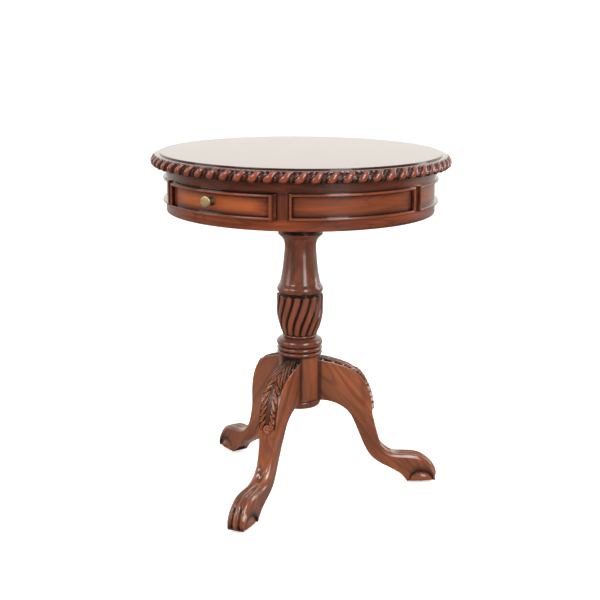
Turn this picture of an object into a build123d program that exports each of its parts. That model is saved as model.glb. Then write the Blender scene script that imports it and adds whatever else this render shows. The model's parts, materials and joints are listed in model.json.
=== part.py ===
from build123d import *
import math
import os

os.makedirs("parts", exist_ok=True)

# Fits
glue_line = 0.1
running_gap = 0.3
bolt_gap = 0.05

# Pedestal heights, from the floor up
hub_underside = 178.5
hub_height = 153.5
vase_height = 86.5
shaft_height = 125.5
neck_height = 47.0

# Top
top_overhang = 12.7
top_thickness = 27.0
top_edge_round = 1.2
rim_drop = 5.0
rim_overhang = 18.3
ovolo_radius = 13.5
lobe_count = 64
lobe_slant = 42.0
flute_arc = 15.0
flute_radius = 4.0
flute_lift = 1.0

# Drum
drum_radius = 269.0
drum_height = 90.0
rail_depth = 20.0
top_rail_height = 20.5
bottom_rail_height = 21.0
panel_count = 5
stile_angle = 3.5
panel_thickness = 14.0
field_setback = 1.0
bead_width = 4.7
bead_stand = 6.5
bead_round = 1.8
floor_thickness = 9.0
floor_rebate = 9.0
block_radius = 95.0
block_thickness = 12.0
tenon_radius = 18.0

# Drawer
opening_width = 244.0
drawer_stile_width = 9.95
drawer_side_gap = 0.8
drawer_height_gap = 1.0
drawer_ajar = 8.0
front_thickness = 18.0
side_thickness = 10.0
side_height = 38.0
drawer_length = 205.0
drawer_bottom_thickness = 4.0
drawer_bottom_lift = 3.0
groove_depth = 4.0
guide_width = 11.0
guide_height = 12.0
guide_end_gap = 3.0
stop_width = 40.0
stop_depth = 15.0
kicker_width = 24.0
kicker_length = 170.0
kicker_gap = 1.5

# Knob
knob_height = 27.5
knob_radius = 11.3
knob_projection = 25.0
knob_rose_radius = 8.0
knob_neck_radius = 4.5
knob_rose_height = 3.0
knob_button_height = 6.0
knob_waist_ease = 3.5
knob_screw_radius = 2.0
knob_screw_grip = 12.0
screw_head_radius = 4.2
screw_head_height = 2.5

# Turned column
hub_radius = 42.5
hub_foot_radius = 44.5
hub_flat_radius = 37.0
hub_foot_height = 9.0
hub_band_height = 5.0
hub_cove_height = 3.5
ring_root = 43.2
ring_stand = 3.4
ring_height = 8.0
ring_groove = 1.7
cushion_stand = 4.2
cushion_height = 18.0
astragal_radius = 35.5
astragal_root = 34.0
astragal_height = 5.0
reed_count = 16
reed_depth = 2.6
reed_twist = 26.0
reed_start = -7.8
vase_radii = (34.8, 39.6, 43.2, 46.2, 47.8, 47.8, 47.6)
shaft_bulb_radius = 47.0
shaft_bulb_height = 15.0
shaft_bulb_round = 3.0
shaft_waist_radius = 32.0
shaft_lip_radius = 46.0
shaft_lip_height = 4.0
shaft_lip_round = 1.8
shaft_neck_radius = 40.0
seam_radius = 43.0
seam_height = 2.0
rod_radius = 5.0
rod_bore_gap = 0.3
nut_width = 17.0
nut_height = 8.0
washer_radius = 12.0
washer_height = 2.0
nut_well_depth = 12.0
rod_tail = 2.0

# Legs
leg_count = 3
leg_turn = 11.8
knee_width = 41.0
leg_width = 34.0
foot_radius = 262.0
foot_width = 40.0
foot_clearance = 6.0
leaf_width = 33.0
leaf_rise = 6.0
leaf_tip_rise = 3.5
leaf_root = 12.0
scroll_radius = 7.5
tongue_depth = 15.0
tongue_overlap = 4.0
tongue_root_width = 14.0
tongue_tip_width = 20.0
tongue_height = 79.0
tongue_lift = 14.0
toe_groove_width = 2.6
toe_groove_depth = 3.5
toe_groove_spacing = 13.4
arch_depth = 4.0
arch_height = 15.0
arch_length = 52.0
heel_arch_width = 27.0
heel_arch_height = 12.0
glide_radius = 6.0
glide_pin_radius = 2.0
glide_pin_length = 8.0

# Top screws and block screws
screw_sink = 1.0
hole_spare = 1.0
top_screw_count = 6
top_screw_radius = 2.2
top_screw_length = 32.0
block_screw_count = 4
block_screw_radius = 2.0
block_screw_length = 17.0
block_screw_circle = 70.0

# Heights that follow from the stack
vase_bottom = hub_underside + hub_height
shaft_bottom = vase_bottom + vase_height
lip_height = shaft_bottom + shaft_height
drum_bottom = lip_height + neck_height
bay_floor = drum_bottom + bottom_rail_height
top_underside = drum_bottom + drum_height
bay_head = top_underside - top_rail_height
top_face = top_underside + top_thickness
rim_top = top_face - rim_drop

# Radii that follow
board_radius = drum_radius + top_overhang
rim_radius = board_radius + rim_overhang
rail_inner = drum_radius - rail_depth
field_radius = drum_radius - field_setback
bead_radius = drum_radius + bead_stand
floor_radius = rail_inner + floor_rebate
front_back_radius = field_radius - front_thickness

# Bay angles: the drawer bay takes the opening and its two stiles, and the panels share the rest
drawer_bay_angle = 2 * math.degrees(math.asin((opening_width / 2 + drawer_stile_width) / rail_inner))
panel_angle = (360 - drawer_bay_angle - (panel_count - 1) * stile_angle) / panel_count
first_panel_start = -90 + drawer_bay_angle / 2

# Drawer places, with the drawer standing a little open
front_width = opening_width - 2 * drawer_side_gap
front_bottom = bay_floor + drawer_height_gap
front_height = bay_head - bay_floor - 2 * drawer_height_gap
side_outer = front_width / 2 - drawer_side_gap
side_inner = side_outer - side_thickness
side_bottom = bay_floor + running_gap
drawer_back_y = -field_radius + drawer_length
bottom_z = side_bottom + drawer_bottom_lift
knob_z = bay_floor + knob_height
rod_bore = rod_radius + rod_bore_gap


def radial_plane(angle):
    """A standing plane through the table's axis: x runs outwards, y runs up."""
    turn = math.radians(angle)
    return Plane(
        origin=(0, 0, 0),
        x_dir=(math.cos(turn), math.sin(turn), 0),
        z_dir=(math.sin(turn), -math.cos(turn), 0),
    )


def drawer_plane(height):
    """A level plane that moves out with the drawer."""
    return Plane.XY.offset(height).move(Location((0, -drawer_ajar, 0)))


def save(piece, name):
    piece.part.label = name
    export_step(piece.part, f"parts/{name}.step")


# Top board: a veneered disc with a softened edge
with BuildPart() as top_board:
    with BuildSketch(Plane.XY.offset(top_underside)):
        Circle(board_radius)
    extrude(amount=top_thickness)
    fillet(top_board.faces().sort_by(Axis.Z)[-1].edges(), top_edge_round)
    with BuildSketch(Plane.XY.offset(top_underside)):
        with PolarLocations(drum_radius - rail_depth / 2, top_screw_count, start_angle=-90):
            Circle(top_screw_radius + bolt_gap)
    extrude(amount=screw_sink + top_screw_length - top_rail_height + hole_spare, mode=Mode.SUBTRACT)
save(top_board, "top_board")

# Gadrooned rim: an ovolo ring cut by slanted curved flutes
ovolo_centre_r = rim_radius - ovolo_radius
ovolo_centre_z = rim_top - ovolo_radius
ovolo_sweep = 90 + math.degrees(math.asin((ovolo_centre_z - top_underside) / ovolo_radius))
with BuildPart() as gadroon_rim:
    with BuildSketch(Plane.XZ):
        with BuildLine():
            wall = Line((board_radius + glue_line, top_underside), (board_radius + glue_line, rim_top))
            shelf = Line(wall @ 1, (ovolo_centre_r, rim_top))
            bulge = CenterArc((ovolo_centre_r, ovolo_centre_z), ovolo_radius, 90, -ovolo_sweep)
            Line(bulge @ 1, wall @ 0)
        make_face()
    revolve(axis=Axis.Z)
    with PolarLocations(rim_radius + flute_lift - flute_arc, lobe_count):
        with Locations((0, 0, ovolo_centre_z)):
            Torus(flute_arc, flute_radius, rotation=(90 - lobe_slant, 0, 0), mode=Mode.SUBTRACT)
save(gadroon_rim, "gadroon_rim")

# Screws that draw the top down onto the drum
top_screw_head_z = bay_head + screw_sink
with BuildPart() as top_screws:
    with PolarLocations(drum_radius - rail_depth / 2, top_screw_count, start_angle=-90):
        with Locations((0, 0, top_screw_head_z)):
            Cylinder(screw_head_radius, screw_head_height, align=(Align.CENTER, Align.CENTER, Align.MIN))
        with Locations((0, 0, top_screw_head_z + screw_head_height)):
            Cylinder(top_screw_radius, top_screw_length - screw_head_height,
                     align=(Align.CENTER, Align.CENTER, Align.MIN))
save(top_screws, "top_screws")

# Drum rails: two rings, the lower one rebated for the floor
with BuildPart() as drum_top_rail:
    with BuildSketch(Plane.XY.offset(bay_head)):
        Circle(drum_radius)
        Circle(rail_inner, mode=Mode.SUBTRACT)
    extrude(amount=top_rail_height)
    with BuildSketch(Plane.XY.offset(bay_head)):
        with PolarLocations(drum_radius - rail_depth / 2, top_screw_count, start_angle=-90):
            Circle(screw_head_radius + bolt_gap)
    extrude(amount=screw_sink + screw_head_height, mode=Mode.SUBTRACT)
    with BuildSketch(Plane.XY.offset(bay_head)):
        with PolarLocations(drum_radius - rail_depth / 2, top_screw_count, start_angle=-90):
            Circle(top_screw_radius + bolt_gap)
    extrude(amount=top_rail_height, mode=Mode.SUBTRACT)
save(drum_top_rail, "drum_top_rail")

with BuildPart() as drum_bottom_rail:
    with BuildSketch(Plane.XY.offset(drum_bottom)):
        Circle(drum_radius)
        Circle(rail_inner, mode=Mode.SUBTRACT)
    extrude(amount=bottom_rail_height)
    with BuildSketch(Plane.XY.offset(bay_floor - floor_thickness)):
        Circle(floor_radius + glue_line)
    extrude(amount=floor_thickness, mode=Mode.SUBTRACT)
save(drum_bottom_rail, "drum_bottom_rail")

# Floor of the drum, and the block that takes the column
with BuildPart() as drum_floor:
    with BuildSketch(Plane.XY.offset(bay_floor - floor_thickness)):
        Circle(floor_radius)
        Circle(rod_bore, mode=Mode.SUBTRACT)
    extrude(amount=floor_thickness)
    with BuildSketch(Plane.XY.offset(bay_floor - floor_thickness)):
        with PolarLocations(block_screw_circle, block_screw_count):
            Circle(block_screw_radius + bolt_gap)
    extrude(amount=block_screw_length - block_thickness + hole_spare, mode=Mode.SUBTRACT)
save(drum_floor, "drum_floor")

block_bottom = bay_floor - floor_thickness - block_thickness
with BuildPart() as column_block:
    with BuildSketch(Plane.XY.offset(block_bottom)):
        Circle(block_radius)
        Circle(tenon_radius + glue_line, mode=Mode.SUBTRACT)
        with PolarLocations(block_screw_circle, block_screw_count):
            Circle(block_screw_radius + bolt_gap, mode=Mode.SUBTRACT)
    extrude(amount=block_thickness)
    with BuildSketch(Plane.XY.offset(block_bottom)):
        with PolarLocations(block_screw_circle, block_screw_count):
            Circle(screw_head_radius + bolt_gap)
    extrude(amount=screw_head_height, mode=Mode.SUBTRACT)
save(column_block, "column_block")

with BuildPart() as block_screws:
    with PolarLocations(block_screw_circle, block_screw_count):
        with Locations((0, 0, block_bottom)):
            Cylinder(screw_head_radius, screw_head_height, align=(Align.CENTER, Align.CENTER, Align.MIN))
        with Locations((0, 0, block_bottom + screw_head_height)):
            Cylinder(block_screw_radius, block_screw_length - screw_head_height,
                     align=(Align.CENTER, Align.CENTER, Align.MIN))
save(block_screws, "block_screws")

# Stiles between the false panels
for number in range(panel_count - 1):
    stile_start = first_panel_start + panel_angle + number * (panel_angle + stile_angle)
    with BuildPart() as stile:
        with BuildSketch(radial_plane(stile_start)):
            with Locations((drum_radius - rail_depth / 2, (bay_floor + bay_head) / 2)):
                Rectangle(rail_depth, bay_head - bay_floor)
        revolve(axis=Axis.Z, revolution_arc=stile_angle)
    save(stile, f"stile_{number + 1}")

# Stiles beside the drawer: their inner cheeks are parallel, for the drawer to slide
cheek_angle = math.degrees(math.acos(opening_width / 2 / rail_inner))
for side, name in ((1, "drawer_stile_right"), (-1, "drawer_stile_left")):
    arc = 90 - cheek_angle - drawer_bay_angle / 2
    outer_arc = drawer_bay_angle / 2 - math.degrees(math.asin(opening_width / 2 / drum_radius))
    with BuildPart() as drawer_stile:
        with BuildSketch(Plane.XY.offset(bay_floor)):
            with BuildLine():
                edge = -90 + side * drawer_bay_angle / 2
                cheek_outer = (side * opening_width / 2, -math.sqrt(drum_radius**2 - opening_width**2 / 4))
                cheek_inner = (side * opening_width / 2, -math.sqrt(rail_inner**2 - opening_width**2 / 4))
                rim_edge = CenterArc((0, 0), drum_radius, edge, -side * outer_arc)
                inner_edge = CenterArc((0, 0), rail_inner, edge, side * arc)
                Line(cheek_outer, cheek_inner)
                Line(rim_edge @ 0, inner_edge @ 0)
            make_face()
        extrude(amount=bay_head - bay_floor)
    save(drawer_stile, name)

# False panels with their cock beads
bead_angle = math.degrees(bead_width / bead_radius)
for number in range(panel_count):
    panel_start = first_panel_start + number * (panel_angle + stile_angle)
    with BuildPart() as false_panel:
        with BuildSketch(radial_plane(panel_start)):
            with Locations((field_radius - panel_thickness / 2, (bay_floor + bay_head) / 2)):
                Rectangle(panel_thickness, bay_head - bay_floor)
        revolve(axis=Axis.Z, revolution_arc=panel_angle)
    save(false_panel, f"false_panel_{number + 1}")

    with BuildPart() as panel_bead:
        with BuildSketch(radial_plane(panel_start)):
            with Locations(((field_radius + glue_line + bead_radius) / 2, (bay_floor + bay_head) / 2)):
                Rectangle(bead_radius - field_radius - glue_line, bay_head - bay_floor)
        revolve(axis=Axis.Z, revolution_arc=panel_angle)
        with BuildSketch(radial_plane(panel_start + bead_angle)):
            with Locations((bead_radius, (bay_floor + bay_head) / 2)):
                Rectangle(4 * bead_stand, bay_head - bay_floor - 2 * bead_width)
        revolve(axis=Axis.Z, revolution_arc=panel_angle - 2 * bead_angle, mode=Mode.SUBTRACT)
        nose = panel_bead.faces().filter_by(GeomType.CYLINDER).sort_by(SortBy.RADIUS)[-1]
        fillet(nose.edges(), bead_round)
    save(panel_bead, f"panel_bead_{number + 1}")

# Drawer front: a curved board, grooved at the back for the drawer bottom
with BuildPart() as drawer_front:
    with BuildSketch(drawer_plane(front_bottom)):
        Circle(field_radius)
        Circle(front_back_radius, mode=Mode.SUBTRACT)
        with Locations((0, -drum_radius)):
            Rectangle(front_width, drum_radius, mode=Mode.INTERSECT)
    extrude(amount=front_height)
    with BuildSketch(drawer_plane(bottom_z)):
        Circle(front_back_radius + groove_depth + glue_line)
        with Locations((0, -drum_radius)):
            Rectangle(2 * (side_inner + groove_depth + glue_line), drum_radius, mode=Mode.INTERSECT)
    extrude(amount=drawer_bottom_thickness + glue_line, mode=Mode.SUBTRACT)
    with Locations(Location((0, -drawer_ajar - front_back_radius, knob_z), (90, 0, 0))):
        Hole(knob_screw_radius + bolt_gap, depth=2 * front_thickness)
save(drawer_front, "drawer_front")

with BuildPart() as drawer_bead:
    with BuildSketch(drawer_plane(front_bottom)):
        Circle(bead_radius)
        Circle(field_radius + glue_line, mode=Mode.SUBTRACT)
        with Locations((0, -drum_radius)):
            Rectangle(front_width, drum_radius, mode=Mode.INTERSECT)
    extrude(amount=front_height)
    with BuildSketch(drawer_plane(front_bottom + bead_width)):
        with Locations((0, -drum_radius)):
            Rectangle(front_width - 2 * bead_width, drum_radius)
    extrude(amount=front_height - 2 * bead_width, mode=Mode.SUBTRACT)
    nose = drawer_bead.faces().filter_by(GeomType.CYLINDER).sort_by(SortBy.RADIUS)[-1]
    fillet(nose.edges(), bead_round)
save(drawer_bead, "drawer_bead")

# Drawer box: two sides, a back, and a thin bottom held in grooves
for side, name in ((1, "drawer_side_right"), (-1, "drawer_side_left")):
    with BuildPart() as drawer_side:
        with BuildSketch(drawer_plane(side_bottom)):
            with Locations((side * (side_outer + side_inner) / 2, drawer_back_y)):
                Rectangle(side_thickness, drum_radius, align=(Align.CENTER, Align.MAX))
            Circle(front_back_radius - glue_line, mode=Mode.INTERSECT)
        extrude(amount=side_height)
        with BuildSketch(drawer_plane(bottom_z)):
            with Locations((0, drawer_back_y)):
                Rectangle(2 * (side_inner + groove_depth + glue_line), drum_radius,
                          align=(Align.CENTER, Align.MAX))
        extrude(amount=drawer_bottom_thickness + glue_line, mode=Mode.SUBTRACT)
    save(drawer_side, name)

back_bottom = bottom_z + drawer_bottom_thickness + glue_line
with BuildPart() as drawer_back:
    with BuildSketch(drawer_plane(back_bottom)):
        with Locations((0, drawer_back_y)):
            Rectangle(2 * side_inner, side_thickness, align=(Align.CENTER, Align.MAX))
    extrude(amount=side_bottom + side_height - back_bottom)
save(drawer_back, "drawer_back")

with BuildPart() as drawer_bottom:
    with BuildSketch(drawer_plane(bottom_z)):
        with Locations((0, drawer_back_y)):
            Rectangle(2 * (side_inner + groove_depth), drum_radius, align=(Align.CENTER, Align.MAX))
        Circle(front_back_radius + groove_depth, mode=Mode.INTERSECT)
    extrude(amount=drawer_bottom_thickness)
save(drawer_bottom, "drawer_bottom")

# Knob: a turned brass button on a waisted neck, drawn up by a screw from inside
dome_height = knob_button_height / 2
ball_radius = (knob_radius**2 + dome_height**2) / (2 * dome_height)
with BuildPart() as turned_knob:
    with BuildSketch(Plane.XZ):
        with BuildLine():
            rose = Line((0, 0), (knob_rose_radius, 0))
            rose_edge = Line(rose @ 1, (knob_rose_radius, knob_rose_height / 2))
            waist = Spline(
                rose_edge @ 1,
                (knob_neck_radius, knob_rose_height + knob_waist_ease),
                (knob_neck_radius, knob_projection - knob_button_height - knob_waist_ease),
                (knob_radius, knob_projection - dome_height),
            )
            dome = ThreePointArc(
                waist @ 1,
                (knob_radius / 2, knob_projection - ball_radius + math.sqrt(ball_radius**2 - knob_radius**2 / 4)),
                (0, knob_projection),
            )
            Line(dome @ 1, rose @ 0)
        make_face()
    revolve(axis=Axis.Z)
    with BuildSketch(Plane.XY):
        Circle(knob_screw_radius + bolt_gap)
    extrude(amount=knob_screw_grip + glue_line, mode=Mode.SUBTRACT)

with BuildPart() as knob:
    with Locations(Location((0, -drawer_ajar - field_radius - bolt_gap, knob_z), (90, 0, 0))):
        add(turned_knob.part)
save(knob, "knob")

screw_seat_y = glue_line - drawer_ajar - front_back_radius
screw_seat = Plane(origin=(0, screw_seat_y, knob_z), x_dir=(1, 0, 0), z_dir=(0, -1, 0))
with BuildPart() as knob_screw:
    with BuildSketch(screw_seat):
        Circle(knob_screw_radius)
    extrude(amount=front_thickness + knob_screw_grip)
    with BuildSketch(screw_seat):
        Circle(screw_head_radius)
    extrude(amount=-screw_head_height)
save(knob_screw, "knob_screw")

# Drawer guides, stop and kicker inside the drum
guide_inner = side_outer + drawer_side_gap
guide_front_y = guide_end_gap - math.sqrt(rail_inner**2 - (guide_inner + guide_width) ** 2)
for side, name in ((1, "drawer_guide_right"), (-1, "drawer_guide_left")):
    with BuildPart() as drawer_guide:
        with BuildSketch(Plane.XY.offset(bay_floor)):
            with Locations((side * (guide_inner + guide_width / 2), drawer_back_y)):
                Rectangle(guide_width, drawer_back_y - guide_front_y, align=(Align.CENTER, Align.MAX))
        extrude(amount=guide_height)
    save(drawer_guide, name)

with BuildPart() as drawer_stop:
    with BuildSketch(Plane.XY.offset(bay_floor)):
        with Locations((0, drawer_back_y + running_gap)):
            Rectangle(stop_width, stop_depth, align=(Align.CENTER, Align.MIN))
    extrude(amount=side_height / 2)
save(drawer_stop, "drawer_stop")

kicker_bottom = side_bottom + side_height + kicker_gap
with BuildPart() as drawer_kicker:
    with BuildSketch(Plane.XY.offset(kicker_bottom)):
        with Locations((0, drawer_back_y)):
            Rectangle(kicker_width, kicker_length, align=(Align.CENTER, Align.MAX))
    extrude(amount=top_underside - kicker_bottom)
save(drawer_kicker, "drawer_kicker")


def hub_blank(extra):
    """The turned hub, its outline grown by extra all round."""
    ring_pitch = ring_height + ring_groove
    rings_bottom = vase_bottom - astragal_height - cushion_height - 2 * ring_pitch
    band_bottom = hub_underside + hub_foot_height
    band_top = band_bottom + hub_band_height
    with BuildPart() as blank:
        with BuildSketch(Plane.XZ):
            with BuildLine():
                sole = Line((0, hub_underside - extra), (hub_flat_radius, hub_underside - extra))
                foot = ThreePointArc(
                    sole @ 1,
                    (hub_foot_radius * 0.76 + hub_flat_radius * 0.24 + extra,
                     hub_underside + hub_foot_height * 0.29),
                    (hub_foot_radius + extra, band_bottom),
                )
                band = Line(foot @ 1, (hub_foot_radius + extra, band_top))
                neck = ThreePointArc(
                    band @ 1,
                    (hub_foot_radius * 0.75 + hub_radius * 0.25 + extra, band_top + hub_cove_height * 0.7),
                    (hub_radius + extra, band_top + hub_cove_height),
                )
                wall = Line(neck @ 1, (hub_radius + extra, rings_bottom))
                last = Line(wall @ 1, (ring_root + extra, rings_bottom))
                for ring in range(2):
                    low = rings_bottom + ring * ring_pitch
                    bead = ThreePointArc(
                        last @ 1,
                        (ring_root + ring_stand + extra, low + ring_height / 2),
                        (ring_root + extra, low + ring_height),
                    )
                    last = Line(bead @ 1, (ring_root + extra, low + ring_pitch))
                cushion_bottom = rings_bottom + 2 * ring_pitch
                cushion = ThreePointArc(
                    last @ 1,
                    (ring_root + cushion_stand + extra, cushion_bottom + cushion_height * 0.36),
                    (ring_root + extra, cushion_bottom + cushion_height * 0.72),
                )
                shoulder = ThreePointArc(
                    cushion @ 1,
                    ((ring_root + astragal_root) / 2 + extra, cushion_bottom + cushion_height * 0.9),
                    (astragal_root + extra, cushion_bottom + cushion_height),
                )
                astragal = ThreePointArc(
                    shoulder @ 1,
                    (astragal_radius + extra, vase_bottom - astragal_height / 2),
                    (astragal_root + extra, vase_bottom),
                )
                lid = Line(astragal @ 1, (0, vase_bottom))
                Line(lid @ 1, sole @ 0)
            make_face()
        revolve(axis=Axis.Z)
    return blank.part


def tongue_outline(extra):
    """Dovetail tongue of a leg in plan, grown by extra on its cheeks and tip."""
    tip = hub_radius - tongue_depth - extra
    root = hub_radius + tongue_overlap
    with BuildSketch(Plane.XY, mode=Mode.PRIVATE) as outline:
        with BuildLine():
            Polyline(
                (tip, -tongue_tip_width / 2 - extra),
                (root, -tongue_root_width / 2 - extra),
                (root, tongue_root_width / 2 + extra),
                (tip, tongue_tip_width / 2 + extra),
                close=True,
            )
        make_face()
    return outline.sketch


leg_angles = [-90 + leg_turn + turn * 360 / leg_count for turn in range(leg_count)]
tongue_bottom = hub_underside + tongue_lift
tongue_top = tongue_bottom + tongue_height

# Hub: turned, slotted from below for the legs, and welled for the tie rod nut
hub_solid = hub_blank(0)
hub_slot = extrude(tongue_outline(glue_line), tongue_top + glue_line - hub_underside)
with BuildPart() as column_hub:
    add(hub_solid)
    for angle in leg_angles:
        with Locations(Location((0, 0, hub_underside), (0, 0, angle))):
            add(hub_slot, mode=Mode.SUBTRACT)
    with BuildSketch(Plane.XY.offset(hub_underside)):
        Circle(rod_bore)
    extrude(amount=hub_height, mode=Mode.SUBTRACT)
    with BuildSketch(Plane.XY.offset(hub_underside)):
        Circle(washer_radius + rod_bore_gap)
    extrude(amount=nut_well_depth, mode=Mode.SUBTRACT)
save(column_hub, "column_hub")

# Vase: sixteen convex reeds that twist as they rise, lofted through scalloped sections
stations = len(vase_radii)
with BuildPart() as column_vase:
    for station, crest in enumerate(vase_radii):
        share = station / (stations - 1)
        turn = reed_start + reed_twist * share * share * (3 - 2 * share)
        with BuildSketch(Plane.XY.offset(vase_bottom + share * vase_height)):
            with BuildLine():
                for reed in range(reed_count):
                    left = math.radians(turn + reed * 360 / reed_count)
                    middle = left + math.pi / reed_count
                    right = left + 2 * math.pi / reed_count
                    root = crest - reed_depth
                    ThreePointArc(
                        (root * math.cos(left), root * math.sin(left)),
                        (crest * math.cos(middle), crest * math.sin(middle)),
                        (root * math.cos(right), root * math.sin(right)),
                    )
            make_face()
    loft()
    with BuildSketch(Plane.XY.offset(vase_bottom)):
        Circle(rod_bore)
    extrude(amount=vase_height, mode=Mode.SUBTRACT)
save(column_vase, "column_vase")

# Shaft: a bulb, a long waist, a flared lip and the plain neck that the drum hides
with BuildPart() as column_shaft:
    with BuildSketch(Plane.XZ):
        with BuildLine():
            seat = Line((0, shaft_bottom), (seam_radius, shaft_bottom))
            seam = Line(seat @ 1, (seam_radius, shaft_bottom + seam_height))
            bulb_foot = Line(seam @ 1, (shaft_bulb_radius - shaft_bulb_round, shaft_bottom + seam_height))
            bulb_top = shaft_bottom + seam_height + shaft_bulb_height
            bulb = ThreePointArc(
                bulb_foot @ 1,
                (shaft_bulb_radius, bulb_top - shaft_bulb_height / 2),
                (shaft_bulb_radius - shaft_bulb_round, bulb_top),
            )
            lip_bottom = lip_height - shaft_lip_height
            taper = lip_bottom - bulb_top
            waist = Spline(
                bulb @ 1,
                (shaft_waist_radius * 1.2, bulb_top + taper * 0.18),
                (shaft_waist_radius * 1.045, bulb_top + taper * 0.55),
                (shaft_waist_radius, bulb_top + taper * 0.72),
                (shaft_waist_radius * 1.125, bulb_top + taper * 0.91),
                (shaft_lip_radius - shaft_lip_round, lip_bottom),
            )
            lip = ThreePointArc(
                waist @ 1,
                (shaft_lip_radius, lip_height - shaft_lip_height * 0.4),
                (shaft_lip_radius - shaft_lip_round, lip_height),
            )
            lip_top = Line(lip @ 1, (shaft_neck_radius, lip_height))
            neck = Line(lip_top @ 1, (shaft_neck_radius, block_bottom))
            shoulder = Line(neck @ 1, (tenon_radius, block_bottom))
            tenon = Line(shoulder @ 1, (tenon_radius, block_bottom + block_thickness))
            end = Line(tenon @ 1, (0, block_bottom + block_thickness))
            Line(end @ 1, seat @ 0)
        make_face()
    revolve(axis=Axis.Z)
    with BuildSketch(Plane.XY.offset(shaft_bottom)):
        Circle(rod_bore)
    extrude(amount=block_bottom + block_thickness - shaft_bottom, mode=Mode.SUBTRACT)
save(column_shaft, "column_shaft")

# Tie rod through the column, with a washer and a nut at each end
well_top = hub_underside + nut_well_depth
rod_bottom = well_top - washer_height - nut_height
rod_top = bay_floor + washer_height + nut_height + rod_tail
with BuildPart() as tie_rod:
    with BuildSketch(Plane.XY.offset(rod_bottom)):
        Circle(rod_radius)
    extrude(amount=rod_top - rod_bottom)
save(tie_rod, "tie_rod")

with BuildPart() as rod_washers:
    for level in (well_top - washer_height, bay_floor):
        with BuildSketch(Plane.XY.offset(level)):
            Circle(washer_radius)
            Circle(rod_bore, mode=Mode.SUBTRACT)
        extrude(amount=washer_height)
save(rod_washers, "rod_washers")

with BuildPart() as rod_nuts:
    for level in (rod_bottom, bay_floor + washer_height):
        with BuildSketch(Plane.XY.offset(level)):
            RegularPolygon(nut_width / 2, 6, major_radius=False)
            Circle(rod_radius + bolt_gap, mode=Mode.SUBTRACT)
        extrude(amount=nut_height)
save(rod_nuts, "rod_nuts")


# Legs: sawn from a side outline and a plan outline, with a raised knee and a carved foot
def moved(points, first, last):
    """The points of a curve moved sideways, by first at its start and by last at its end."""
    result = []
    for index, point in enumerate(points):
        before = points[max(index - 1, 0)]
        after = points[min(index + 1, len(points) - 1)]
        run = math.hypot(after[0] - before[0], after[1] - before[1])
        across = ((before[1] - after[1]) / run, (after[0] - before[0]) / run)
        distance = first + (last - first) * index / (len(points) - 1)
        result.append((point[0] + distance * across[0], point[1] + distance * across[1]))
    return result


knee_edge = [
    (hub_radius - 6, hub_underside + 100.5),
    (hub_radius + 63.5, hub_underside + 80),
    (hub_radius + 99, hub_underside + 37.5),
    (hub_radius + 109.5, hub_underside - 8.5),
]
ankle_edge = [
    (foot_radius - 98, foot_clearance + 108),
    (foot_radius - 86, foot_clearance + 76),
]
foot_edge = [
    (foot_radius - 57, foot_clearance + 61),
    (foot_radius - 12, foot_clearance + 57),
    (foot_radius + 21, foot_clearance + 39),
    (foot_radius + 33, foot_clearance + 12),
]
under_edge = [
    (hub_radius - 6, hub_underside + 13.5),
    (hub_radius + 23.5, hub_underside + 9),
    (hub_radius + 58.5, hub_underside - 12),
    (foot_radius - 140, foot_clearance + 118),
    (foot_radius - 115, foot_clearance + 65),
    (foot_radius - 77, foot_clearance + 36),
    (foot_radius - 44, foot_clearance + 16),
    (foot_radius - 31, foot_clearance),
]
toe_tip = (foot_radius + 29, foot_clearance)

# The leaf on the knee, as a raised pad with rounded shoulders
with BuildPart() as knee_leaf:
    with BuildSketch(radial_plane(0)):
        with BuildLine():
            leaf_crest = Spline(*moved(knee_edge, leaf_rise, leaf_tip_rise))
            leaf_bed = Spline(*moved(knee_edge, -leaf_root, -leaf_root))
            Line(leaf_crest @ 0, leaf_bed @ 0)
            Line(leaf_crest @ 1, leaf_bed @ 1)
        make_face()
    extrude(amount=leaf_width / 2, both=True)
    crest_face = knee_leaf.faces().filter_by(GeomType.EXTRUSION).sort_by(SortBy.AREA)[-1]
    fillet(crest_face.edges().filter_by(GeomType.BSPLINE), leaf_rise)

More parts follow.
